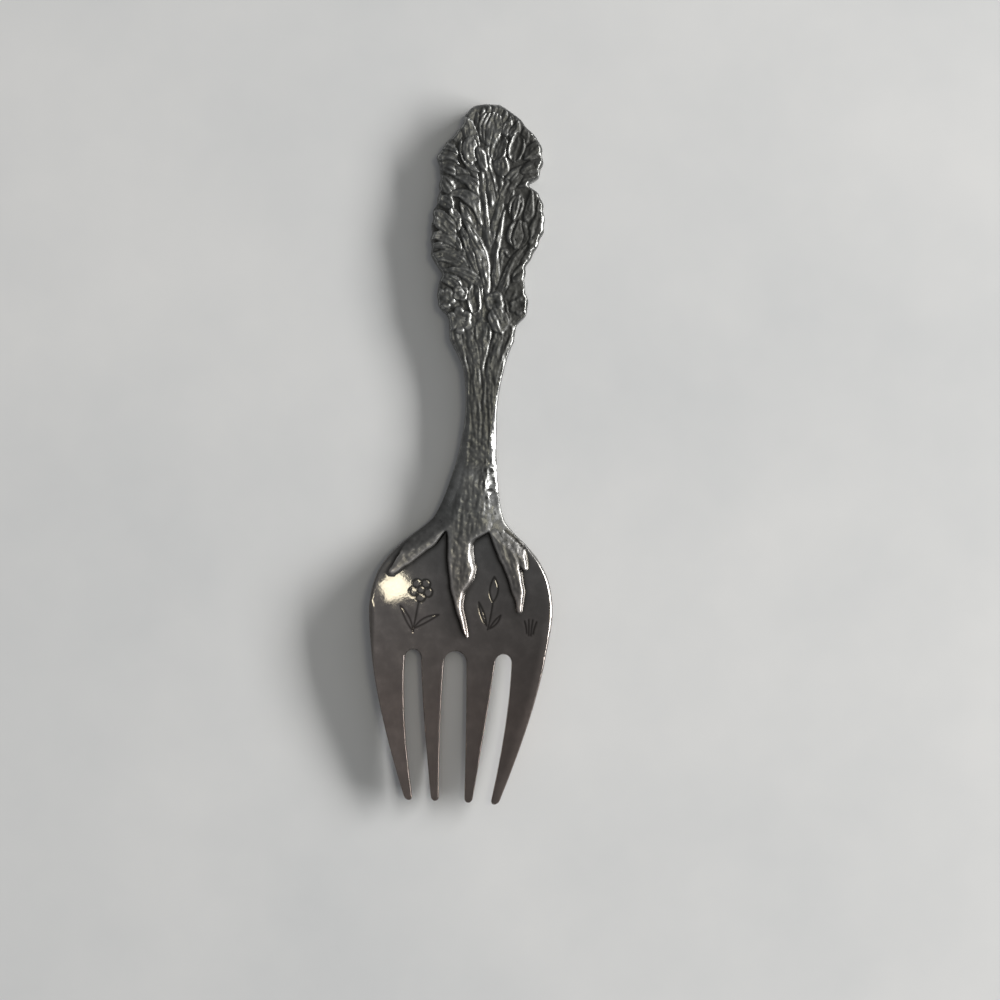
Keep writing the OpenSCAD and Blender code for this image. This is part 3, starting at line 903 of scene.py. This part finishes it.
# Small leaves cast on the plate between the larger forms
fill_leaves = [
    ((0.56, 0.35), (0.72, 0.37), (0.86, 0.39), 1.4),
    ((0.28, 0.58), (0.34, 0.62), (0.4, 0.66), 1.2),
    ((0.78, 0.55), (0.86, 0.6), (0.84, 0.66), 1.4),
    ((0.6, 0.86), (0.68, 0.87), (0.74, 0.87), 1.2),
    ((-0.66, 0.83), (-0.62, 0.86), (-0.56, 0.9), 1.3),
    ((-0.7, 0.06), (-0.62, 0.08), (-0.56, 0.02), 1.2),
]

# Fringe of leaf tips round the crown, from a lower arc to an upper one: height and fall of each
fringe_tips = 10
fringe_span = (-0.42, 0.52)
fringe_lean = 0.75
fringe_w = 1.2
low_arc = (0.9, 0.25)
high_arc = (1.0, 0.42)
for k in range(fringe_tips):
    u = mix(*fringe_span, k / (fringe_tips - 1))
    base = (u * fringe_lean, low_arc[0] - low_arc[1] * u * u)
    tip = (u, high_arc[0] - high_arc[1] * u * u)
    fill_leaves.append((base, ((base[0] + tip[0]) / 2, (base[1] + tip[1]) / 2), tip, fringe_w))

# Roots over the head: control points, width and taper, with the trunk that they leave
roots = [
    ("root_centre", [(0.8, -1), (0.4, -5), (0.3, -8), (0.2, -11)], 9.2, 8),
    ("root_left", [(-1.8, -5), (-3.4, -11.6), (-7.2, -14.4), (-11.5, -20)], 4.7, 3),
    ("root_right_inner", [(2.4, -6), (5.2, -14), (9.2, -18.4), (9.4, -25.2)], 3.0, 5),
    ("root_right_outer", [(3.2, -4), (5.0, -10.4), (7.8, -13.4), (10, -18.3)], 3.7, 5),
]

# The centre root: station, left edge and right edge
centre_root = [
    (-6, -4.4, 4.8), (-11, -4.6, 5.2), (-12.4, -4, 4.5), (-13.2, -3.2, 3.3), (-13.9, -3, 2),
    (-15.1, -2.9, 1.3), (-17.4, -2.75, 1.55), (-19, -2.6, 2.1), (-20.2, -2.4, 2), (-21.9, -2.1, 1.2),
    (-22.8, -1.9, 0.6), (-24.7, -1.3, 0.35), (-26.7, -0.6, 0.65), (-29.7, 0.75, 1.35), (-30.2, 1.05, 1.4),
]
for name, path, width, taper in roots:
    root_strand(path, width, taper, name)
root_between(centre_root, "root_centre")


def strands(forms, top, shape, profile, part, start_rise=0.0):
    """Raises strands that are listed by three points of the handle and a width."""
    for *points, width in forms:
        strand([on_handle(*p) for p in points], width * fullness, top, shape, profile, part, start_rise)


def buds(forms, profile, part):
    """Raises buds, each one oval petal, that are listed by base, tip and width."""
    for base, tip, width in forms:
        base, tip = on_handle(*base), on_handle(*tip)
        path = [base, (base + tip) / 2, tip]
        strand(path, width * fullness, blossom_h, oval_shape, profile, part)


# Fine blades fan out over the plate behind the larger forms
blade_root = (0.05, -0.05)
blade_count = 26
blade_len = 5
blade_mean = 0.1
blade_depth = 0.12
fan = front_plan - on_handle(*blade_root)
fan_angle = np.arctan2(fan[:, 0], fan[:, 1])
on_plate = ease(collar_y - 1, collar_y + 3, front_y)
blades = noise(fan_angle * blade_count, np.hypot(*fan.T) / blade_len)
height += on_plate * (blade_mean + blade_depth * blades)

strands(fill_leaves, fill_h, leaf_shape, leaf_profile, None)
strands(left_leaves, leaf_h, leaf_shape, leaf_profile, "left_leaves")
strands(right_leaves, leaf_h, leaf_shape, leaf_profile, "right_leaves")
strands(lanes, lane_h, lane_shape, stem_profile, "stems", start_rise=0.4)
strands(stems, stem_h, stem_shape, stem_profile, "stems", start_rise=0.15)
strands(crown_leaves, leaf_h, leaf_shape, leaf_profile, "crown_blossoms")
buds(crown_smooth, dome_profile, "crown_blossoms")
buds(crown_open, open_profile, "crown_blossoms")
buds(crown_buds, petal_profile, "crown_blossoms")
buds(left_buds, petal_profile, "left_blossoms")
for base, tip, width in crown_tulips:
    tulip(base, tip, width, five_petals, "crown_blossoms")
for base, tip, width in right_tulips:
    tulip(base, tip, width, three_petals, "right_blossoms")
buds([collar_open], open_profile, "collar_blossoms")
for form in collar_blooms:
    bloom(*form, "collar_blossoms")
buds([collar_smooth], dome_profile, "collar_blossoms")
strands([collar_bud], lane_h, drop_shape, dome_profile, "collar_blossoms", start_rise=0.4)

# Bark along the trunk, flecks on its right side, and the cast grain of all the carved work
bark_reliefs = (0.03, 0.085)
fleck_relief = 0.14
grain_relief = 0.05
bark_slant = 4.6
bark_size = (0.34, 2.6)
fine_bark_size = (0.2, 1.2)
bark_drop = 0.8
grain_size = 0.45
fine_grain_size = 0.2
fine_grain = 0.6
fleck_size = (0.3, 0.65)
fleck_reach = (3.2, 1.6)
carved = np.maximum(ease(neck_y - 2, neck_y + 2, front_y), (owner >= 0) & (front_y < neck_y + 2))
spread = body_half(np.clip(front_y, neck_y, collar_y)) / (waist_w / 2)
across = (front_x - centre_x(front_y)) / np.sqrt(spread)
slant = front_y + bark_slant * across
fine_bark = noise(across / fine_bark_size[0] + 40, slant / fine_bark_size[1])
streaks = noise(across / bark_size[0], slant / bark_size[1]) + fine_level * fine_bark - bark_drop
bark = (1 - ease(collar_y - 8, collar_y + 2, front_y)) * ease(neck_y - 1, neck_y + 3, front_y)
grain = noise(front_x / grain_size, front_y / grain_size)
grain += fine_grain * noise(front_x / fine_grain_size + 70, front_y / fine_grain_size)
flecked = ease(neck_y + 2, neck_y + 5, front_y) * ease(neck_y + 11, neck_y + 8, front_y)
flecked = flecked * ease(*fleck_reach, front_inset) * ease(0, 1, front_x - centre_x(front_y))
flecks = flecked * noise(front_x / fleck_size[0] + 13, front_y / fleck_size[1])
bark_relief = mix(*bark_reliefs, ease(neck_y + 8, waist_y, front_y))
texture = bark_relief * bark * streaks + fleck_relief * flecks + grain_relief * carved * grain

# Engraved motifs on the head: lines as control points
engraved_w = 0.26
flower_middle = (-6.7, -22.7)
flower_petals = 5
petal_ring = 1.15
petal_r = 0.78
petal_turn = 2.2
eye_r = 0.6
ring_bends = 4


def ring_lines(middle, radius, first, last):
    """A round line from one angle to another, as short bends."""
    angles = np.linspace(first, last, 2 * ring_bends + 1)
    spot = np.array(middle)
    unit = np.stack((np.cos(angles), np.sin(angles)), axis=1)
    bulge = 1 / math.cos((last - first) / (2 * ring_bends))
    points = spot + radius * unit
    corners = spot + radius * bulge * unit
    return [(points[2 * k], corners[2 * k + 1], points[2 * k + 2]) for k in range(ring_bends)]


def leaf_outline(base, tip, *bulges):
    """The two sides of an engraved leaf."""
    return [(base, bulge, tip) for bulge in bulges]


def flower_lines():
    """A round flower with ringed petals."""
    lines = ring_lines(flower_middle, eye_r, 0, 2 * math.pi)
    for k in range(flower_petals):
        angle = -math.pi / 2 + 2 * math.pi * k / flower_petals
        spot = np.array(flower_middle) + petal_ring * np.array([math.cos(angle), math.sin(angle)])
        lines += ring_lines(spot, petal_r, angle - petal_turn, angle + petal_turn)
    return lines


stalk_lines = [
    ((-7.0, -24.7), (-7.3, -27), (-7.6, -29.2)), ((4.5, -28.6), (4.9, -26.5), (5.1, -24.1)),
]
leaf_lines = leaf_outline((-7.6, -29.5), (-9.9, -25.4), (-8, -27), (-9, -28))
leaf_lines += leaf_outline((-7.5, -29), (-3.6, -26.6), (-6.4, -26.8), (-5.4, -28))
leaf_lines += leaf_outline((5.1, -24.1), (5.1, -19.9), (3.9, -22.3), (6.6, -22))
leaf_lines += leaf_outline((4.3, -28), (2.8, -24.2), (3, -26.4), (4, -26))
leaf_lines += leaf_outline((4.8, -28.4), (6.5, -26.1), (5.4, -27), (6.2, -27.7))

# A tuft of four blades: level of their points, and how far those spread and rise off the middle
tuft_x = 11.4
tuft_points = [(-29.2, 0.35, 0.3), (-27.8, 0.4, 0), (-26.4, 0.65, -0.25)]
tuft_lines = [
    [(tuft_x + out * k, level + rise * abs(k)) for level, out, rise in tuft_points]
    for k in (-1.5, -0.5, 0.5, 1.5)
]
slit_lines = [((6.4, -12.3), (8.1, -13.4), (9.6, -15))]

# Lines with their depth and their darkness
engraved_work = [
    (flower_lines(), 0.035, 1), (stalk_lines + leaf_lines + tuft_lines, 0.1, 0.4), (slit_lines, 0.28, 1),
]
engraved = np.zeros(len(front_plan))
blackened = np.zeros(len(front_plan))
for lines, depth, darkness in engraved_work:
    for path in lines:
        numbers, _, gap, _ = along(path, engraved_w, front_plan)
        groove = np.exp(-((gap / engraved_w) * 2) ** 2)
        engraved[numbers] = np.maximum(engraved[numbers], depth * groove)
        blackened[numbers] = np.maximum(blackened[numbers], darkness * groove)

# Heights of both surfaces
links = np.unique(np.sort(front_faces[:, [0, 1, 1, 2, 2, 0]].reshape(-1, 2), axis=1), axis=0)


def blurred(values, rounds):
    """Values averaged with their neighbours on the front."""
    count = len(values)
    share = np.bincount(links.ravel(), minlength=count) + 1
    for _ in range(rounds):
        total = values + np.bincount(links[:, 0], values[links[:, 1]], count)
        values = (total + np.bincount(links[:, 1], values[links[:, 0]], count)) / share
    return values


edge_clear = 0.12
top_clear = 0.02
texture_fade = 0.4
right_drop = 0.3
right_fade = (1.5, 6)
relief_level = 0.94
swell = 0.3
swell_size = (1.1, 1.3)
softness = 0.3
plate_softness = 0.15
root_softness = 0.3
soft_rounds = 2
relief_ramp = curve([
    (tip_y, 0.4), (neck_y - 8, 0.4), (neck_y - 5, 2.2), (neck_y, 3), (neck_y + 3, 2.6), (neck_y + 4.5, 2.1),
    (neck_y + 6, 1.95), (neck_y + 8, 1.5), (neck_y + 11, 0.6), (waist_y, 0.4), (end_y, 0.4),
])
height *= np.clip((front_inset - edge_clear) / relief_ramp(front_y), 0, 1)
off_middle = front_x - handle_shift
height *= 1 - right_drop * on_plate * ease(*right_fade, off_middle)
height *= relief_level + swell * on_plate * noise(front_x / swell_size[0] + 3, front_y / swell_size[1] + 7)
height += texture * ease(0, texture_fade, front_inset) - engraved
on_root = (owner >= 0) & (front_y < neck_y)
soft = softness + plate_softness * on_plate + root_softness * on_root
height = mix(height, blurred(height, soft_rounds), soft)
plain_z = middle_z(front_x, front_y) + thick(front_y) / 2 - front_drop(front_inset, front_y)
outer = outer_band(front_x, front_y)
plain_z -= outer_depth(front_y) * outer * rounding(front_inset, side_wall)
height = np.minimum(height, cad_high[2] / MM - top_clear - plain_z)
front_z = plain_z + height
back_x, back_y = back_plan.T
back_z = middle_z(back_x, back_y) - thick(back_y) / 2 * rounding(back_inset, back_radius(back_y))
back_z = np.maximum(back_z, 0)

# Wear: bright on what stands up, dark in what lies deep, and dull where the metal is tarnished; painted shade
# darkens the handle's right side, and its left edge is a little darker
hollow_rounds = 14
hollow_gain = 1.6
plain_wear = 0.45
relief_wear = 0.29
relief_gain = 0.12
trunk_tarnish = (0.05, 0.24)
# Painted shade darkens the colour of the handle's right side; the colour is also a little darker towards its
# left edge
right_painted_shade = 0.27
right_reach = (0, 6)
left_darkening = 0.09
left_reach = (-2, -7)
rim_from = (0.9, 1.3)
rim_gain = 0.25
rim_polish = 0.65
fleck_levels = (0.1, 0.4)
fleck_loss = 0.9
dark_levels = (0.32, 0.1)
dark_dull = 0.8
edge_dull = 0.6
hollow = height - blurred(height, hollow_rounds)
on_relief = ease(collar_y - 10, collar_y - 4, front_y)
rim = 1 - ease(*rim_from, front_inset / bevel_w(front_y))
polished = rim * ease(neck_y, neck_y + 4, front_y)
tarnished = carved * mix(*trunk_tarnish, ease(neck_y + 4, waist_y, front_y))
base_wear = mix(plain_wear - tarnished, relief_wear + relief_gain * height / leaf_h, on_relief)
# Painted shade on the handle's right side, and a little darkening towards its left edge
side_darkening = right_painted_shade * ease(*right_reach, off_middle) + left_darkening * ease(*left_reach, off_middle)
wear = base_wear + hollow_gain * hollow - blackened - on_relief * side_darkening
wear = np.clip(wear + rim_gain * polished - fleck_loss * ease(*fleck_levels, flecks), 0, 1)
dull = carved * (1 - rim_polish * polished) + dark_dull * on_relief * ease(*dark_levels, wear)
dull += edge_dull * np.sqrt(outer) * (1 - carved)


def surface_normals(plan, z, faces, up):
    """Smooth normals of a height field, level along the outline."""
    points = np.column_stack((plan, z))
    a, b, c = (points[faces[:, k]] for k in range(3))
    flat = np.cross(b - a, c - a) * up
    normals = np.zeros_like(points)
    for k in range(3):
        for axis in range(3):
            normals[:, axis] += np.bincount(faces[:, k], flat[:, axis], len(points))
    normals[:border_count] = np.column_stack((-inward, np.zeros(border_count)))
    return normals / np.linalg.norm(normals, axis=1)[:, None]


front_normals = surface_normals(front_plan, front_z, front_faces, 1)
back_normals = surface_normals(back_plan, back_z, back_faces, -1)

# Raised parts as sets of triangles, without places where a set only touches itself at a point
raised_floor = 0.16
is_raised = (height > raised_floor) & (front_inset > edge_clear)
point_part = np.where(is_raised, owner, -1)
corner_parts = point_part[front_faces]
face_part = np.where((corner_parts == corner_parts[:, :1]).all(axis=1), corner_parts[:, 0], -1)


def border_of(faces):
    """Directed edges that only one of the triangles has."""
    sides = faces[:, [0, 1, 1, 2, 2, 0]].reshape(-1, 2)
    keys = np.sort(sides, axis=1)
    _, which, counts = np.unique(keys[:, 0] * len(front_plan) + keys[:, 1], return_inverse=True,
                                 return_counts=True)
    return sides[counts[which] == 1]


def pinched(members):
    """Triangles of a set at the points where its border meets itself."""
    begins, counts = np.unique(border_of(front_faces[members])[:, 0], return_counts=True)
    return members[np.isin(front_faces[members], begins[counts > 1]).any(axis=1)]


def part_sets(part):
    """A raised part's triangles, as one set and as one set for each region that it lies on."""
    whole = np.flatnonzero(face_part == part)
    return [whole] + [whole[front_region[whole] == r] for r in np.unique(front_region[whole])]


for part in range(len(RAISED)):
    loose = [1]
    while len(loose):
        loose = np.concatenate([pinched(s) for s in part_sets(part)])
        face_part[loose.astype(int)] = -1


def floor_faces(members):
    """Triangles across the foot of a set of raised triangles, from its border alone."""
    sides = border_of(front_faces[members])
    used, local = np.unique(sides, return_inverse=True)
    local = local.reshape(-1, 2)
    plan = front_plan[used]
    faces = triangulate(plan, [tuple(map(int, side)) for side in local])
    x, y = plan[faces].mean(axis=1).T
    (ax, ay), (bx, by) = plan[local[:, 0]].T, plan[local[:, 1]].T
    crosses = (ay > y[:, None]) != (by > y[:, None])
    rise = np.where(by == ay, 1, by - ay)
    hits = crosses & (x[:, None] < ax + (y[:, None] - ay) * (bx - ax) / rise)
    return used[faces[hits.sum(axis=1) % 2 == 1]]


floors = {
    (int(front_region[s[0]]), part): floor_faces(s)
    for part in range(len(RAISED)) for s in part_sets(part)[1:]
}

# The plain metal under a raised part is hidden, and drops to the plain surface on the dividing lines
shown = np.zeros(len(front_plan), bool)
for part in range(-1, len(RAISED)):
    members = np.flatnonzero(face_part == part)
    shown[front_faces[members] if part < 0 else border_of(front_faces[members])] = True
plate_z = np.where(shown, front_z, plain_z)


# Objects and materials
scene = bpy.context.scene


def add_object(name, data):
    """Adds an object to the scene."""
    made = bpy.data.objects.new(name, data)
    scene.collection.objects.link(made)
    return made


def new_material(name):
    """A material, with its node tree, its shader and the place on the object."""
    material = bpy.data.materials.new(name)
    material.use_nodes = True
    tree = material.node_tree
    place = tree.nodes.new("ShaderNodeTexCoord").outputs["Object"]
    return material, tree, tree.nodes["Principled BSDF"], place


def linked(tree, kind, inputs, **settings):
    """Adds a node, sets its settings, and links or sets its inputs."""
    made = tree.nodes.new(kind)
    for key, value in settings.items():
        setattr(made, key, value)
    for key, value in inputs.items():
        if isinstance(value, bpy.types.NodeSocket):
            tree.links.new(value, made.inputs[key])
        else:
            made.inputs[key].default_value = value
    return made


def maths(tree, operation, *inputs):
    """Adds a sum, and returns its result."""
    return linked(tree, "ShaderNodeMath", dict(enumerate(inputs)), operation=operation).outputs[0]


def ramp(tree, source, stops):
    """Colours along a value, as (place, colour) stops."""
    made = linked(tree, "ShaderNodeValToRGB", {"Fac": source})
    bar = made.color_ramp
    while len(bar.elements) < len(stops):
        bar.elements.new(0.5)
    for element, (place, colour) in zip(bar.elements, stops):
        element.position = place
        element.color = (*colour, 1)
    return made.outputs["Color"]


# The pewter's tones by rubbing and painted shade, its warmth towards the tips, and its roughness
tones = [(0.1, (0.07, 0.07, 0.067)), (0.45, (0.186, 0.188, 0.184)), (0.85, (0.42, 0.422, 0.415))]
warm_from = -10
warm_to = -42
warm_tint = (1.05, 0.86, 0.79)
bright_roughness = 0.08
dull_roughness = 0.28
mottle_roughness = 0.2
mottle_wear = 0.35
mottle_scale = 420
speck_scale = 2600
speck_strength = 0.25
metal_share = 0.9
back_wear = 0.42


def pewter(name, grain_height):
    """Dark antiqued pewter: black in its recesses, rubbed bright on what stands up, with painted shade that
    darkens the handle's right side.
    """
    material, tree, shader, place = new_material(name)
    worn_and_shaded = linked(tree, "ShaderNodeAttribute", {}, attribute_name="wear").outputs["Fac"]
    tarnish = linked(tree, "ShaderNodeAttribute", {}, attribute_name="dull").outputs["Fac"]
    mottle = linked(tree, "ShaderNodeTexNoise",
                    {"Vector": place, "Scale": mottle_scale, "Detail": 6, "Roughness": 0.65})
    specks = linked(tree, "ShaderNodeTexNoise", {"Vector": place, "Scale": speck_scale, "Detail": 3})
    uneven = maths(tree, "SUBTRACT", mottle.outputs["Fac"], 0.5)
    colour = ramp(tree, maths(tree, "MULTIPLY_ADD", uneven, mottle_wear, worn_and_shaded), tones)
    along_fork = linked(tree, "ShaderNodeSeparateXYZ", {"Vector": place}).outputs["Y"]
    to_tips = linked(tree, "ShaderNodeMapRange", {"Value": along_fork, "From Min": warm_from * MM,
                                                  "From Max": warm_to * MM})
    warmed = linked(tree, "ShaderNodeMix", {0: to_tips.outputs["Result"], 6: colour, 7: (*warm_tint, 1)},
                    data_type="RGBA", blend_type="MULTIPLY")
    tree.links.new(warmed.outputs[2], shader.inputs["Base Color"])
    roughness = maths(tree, "MULTIPLY_ADD", tarnish, dull_roughness, bright_roughness)
    roughness = maths(tree, "MULTIPLY_ADD", uneven, mottle_roughness, roughness)
    tree.links.new(roughness, shader.inputs["Roughness"])
    shader.inputs["Metallic"].default_value = metal_share
    bump = linked(tree, "ShaderNodeBump", {"Height": specks.outputs["Fac"], "Strength": speck_strength,
                                           "Distance": grain_height * MM})
    tree.links.new(bump.outputs["Normal"], shader.inputs["Normal"])
    return material


grain_heights = {"smooth_pewter": 0.02, "carved_pewter": 0.04, "raised_pewter": 0.04}
MATERIALS = {slot: pewter(slot, grain_height) for slot, grain_height in grain_heights.items()}


class Piece:
    """Points with normals, rubbed tone with painted shade, dullness, and faces, gathered for one mesh."""

    def __init__(self):
        self.points, self.normals, self.wear, self.dull, self.faces = [], [], [], [], []

    def add(self, plan, z, normals, worn_and_shaded, tarnish):
        """Adds points, and returns the number of the first."""
        first = len(self.points)
        self.points += np.column_stack((plan, z)).tolist()
        self.normals += normals.tolist()
        self.wear += worn_and_shaded.tolist()
        self.dull += tarnish.tolist()
        return first

    def build(self, node, slot):
        """Makes the mesh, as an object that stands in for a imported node."""
        mesh = bpy.data.meshes.new(node)
        mesh.from_pydata((np.array(self.points) * MM).tolist(), [], self.faces)
        mesh.polygons.foreach_set("use_smooth", [True] * len(mesh.polygons))
        for name, values in (("wear", self.wear), ("dull", self.dull)):
            mesh.attributes.new(name, "FLOAT", "POINT").data.foreach_set("value", values)
        mesh.normals_split_custom_set_from_vertices(self.normals)
        mesh.materials.append(MATERIALS[slot])
        made = add_object("fork_" + node, mesh)
        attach(made, "root")
        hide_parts(node)


def numbered(count, used, first):
    """Table from the plan's numbers to a piece's own."""
    table = np.full(count, -1)
    table[used] = first + np.arange(len(used))
    return table


dull_back = ease(neck_y - 2, neck_y + 2, back_y)


def build_region(region):
    """One region of the casting: its front with the feet of what is raised on it, its back, its cut ends."""
    piece = Piece()
    plain = front_faces[(front_region == region) & (face_part < 0)]
    feet = [faces for (r, _), faces in floors.items() if r == region]
    front = np.concatenate([plain] + feet)
    back = back_faces[back_region == region]
    used = np.unique(front)
    first = piece.add(front_plan[used], plate_z[used], front_normals[used], wear[used], dull[used])
    top = numbered(len(front_plan), used, first)
    below = np.unique(back)
    below = below[below >= border_count]
    first = piece.add(back_plan[below], back_z[below], back_normals[below],
                      np.full(len(below), back_wear), dull_back[below])
    low = numbered(len(back_plan), below, first)
    low[:border_count] = top[:border_count]
    piece.faces += top[front].tolist()
    piece.faces += low[back[:, ::-1]].tolist()
    for a, b in border_of(front):
        on_outline = max(a, b) < border_count and abs(a - b) in (1, border_count - 1)
        if not on_outline:
            corners = [low[a], low[b], top[b], top[a]]
            piece.faces.append([int(c) for c in dict.fromkeys(corners)])
    return piece


sink = 0.2


def build_raised(part):
    """One raised part, with its foot sunk in the metal below it."""
    piece = Piece()
    members = np.flatnonzero(face_part == part)
    faces = front_faces[members]
    used = np.unique(faces)
    first = piece.add(front_plan[used], front_z[used], front_normals[used], wear[used], dull[used])
    top = numbered(len(front_plan), used, first)
    foot = np.concatenate([f for (_, p), f in floors.items() if p == part])
    below = np.unique(foot)
    down = np.tile((0.0, 0.0, -1.0), (len(below), 1))
    first = piece.add(front_plan[below], plate_z[below] - sink, down, wear[below], dull[below])
    low = numbered(len(front_plan), below, first)
    piece.faces += top[faces].tolist()
    piece.faces += low[foot[:, ::-1]].tolist()
    piece.faces += [[int(low[a]), int(low[b]), int(top[b]), int(top[a])] for a, b in border_of(faces)]
    return piece


for region, node in enumerate(REGIONS):
    build_region(region).build(node, "smooth_pewter" if region <= HEAD else "carved_pewter")
for part, node in enumerate(RAISED):
    build_raised(part).build(node, "raised_pewter")


# Floor
floor_tones = [(0.3, (0.6, 0.61, 0.62)), (0.7, (0.7, 0.7, 0.7))]
floor_half = 1.5
floor_level = -0.02 * MM


def floor_material():
    """A pale, matt floor with faint clouds."""
    material, tree, shader, place = new_material("pale_floor")
    cloud = linked(tree, "ShaderNodeTexNoise", {"Vector": place, "Scale": 14, "Detail": 5, "Roughness": 0.6})
    tree.links.new(ramp(tree, cloud.outputs["Fac"], floor_tones), shader.inputs["Base Color"])
    shader.inputs["Roughness"].default_value = 0.9
    shader.inputs["Specular IOR Level"].default_value = 0.05
    return material


floor_mesh = bpy.data.meshes.new("floor")
floor_signs = ((-1, -1), (1, -1), (1, 1), (-1, 1))
floor_corners = [(x * floor_half, y * floor_half, floor_level) for x, y in floor_signs]
floor_mesh.from_pydata(floor_corners, [], [(0, 1, 2, 3)])
floor_mesh.materials.append(floor_material())
floor = add_object("floor", floor_mesh)


# Light: a low window on the right, a small warm lamp overhead, and a room that is brighter by the window
def area_light(name, place, size, power, colour):
    """A soft rectangular lamp that faces the fork."""
    lamp = bpy.data.lights.new(name, "AREA")
    lamp.shape = "RECTANGLE"
    lamp.size, lamp.size_y = size
    lamp.energy = power
    lamp.color = colour
    made = add_object(name, lamp)
    made.location = place
    made.rotation_euler = (-Vector(place)).to_track_quat("-Z", "Y").to_euler()


area_light("window", (1.32, 0.25, 0.41), size=(1.5, 0.28), power=45.5, colour=(1.0, 0.99, 0.97))
area_light("lamp", (0.365, 0.137, 1.05), size=(0.19, 0.24), power=0.95, colour=(1.0, 0.95, 0.74))
room_tones = [(0, (0.4, 0.405, 0.41)), (1, (0.72, 0.73, 0.75))]
room_strength = 0.48
world = bpy.data.worlds.new("studio")
world.use_nodes = True
room = world.node_tree
direction = room.nodes.new("ShaderNodeTexCoord").outputs["Generated"]
to_window = linked(room, "ShaderNodeSeparateXYZ", {"Vector": direction}).outputs["X"]
bright_side = linked(room, "ShaderNodeMapRange", {"Value": to_window, "From Min": -1, "From Max": 1})
backdrop = room.nodes["Background"]
room.links.new(ramp(room, bright_side.outputs["Result"], room_tones), backdrop.inputs["Color"])
backdrop.inputs["Strength"].default_value = room_strength
scene.world = world
scene.view_settings.view_transform = "Standard"

# The photo looks straight down, with the fork turned a little clockwise
camera_over = (5.35, -7.36)
camera_height = 260
half_view = 82.25
fork_turn = math.radians(3.2)
camera = bpy.data.cameras.new("camera")
camera.sensor_width = 36
camera.lens = camera.sensor_width / 2 * camera_height / half_view
camera.clip_start = 0.01
camera.clip_end = 10
camera_object = add_object("camera", camera)
camera_object.location = (camera_over[0] * MM, camera_over[1] * MM, camera_height * MM)
camera_object.rotation_euler = (0, 0, fork_turn)
scene.camera = camera_object
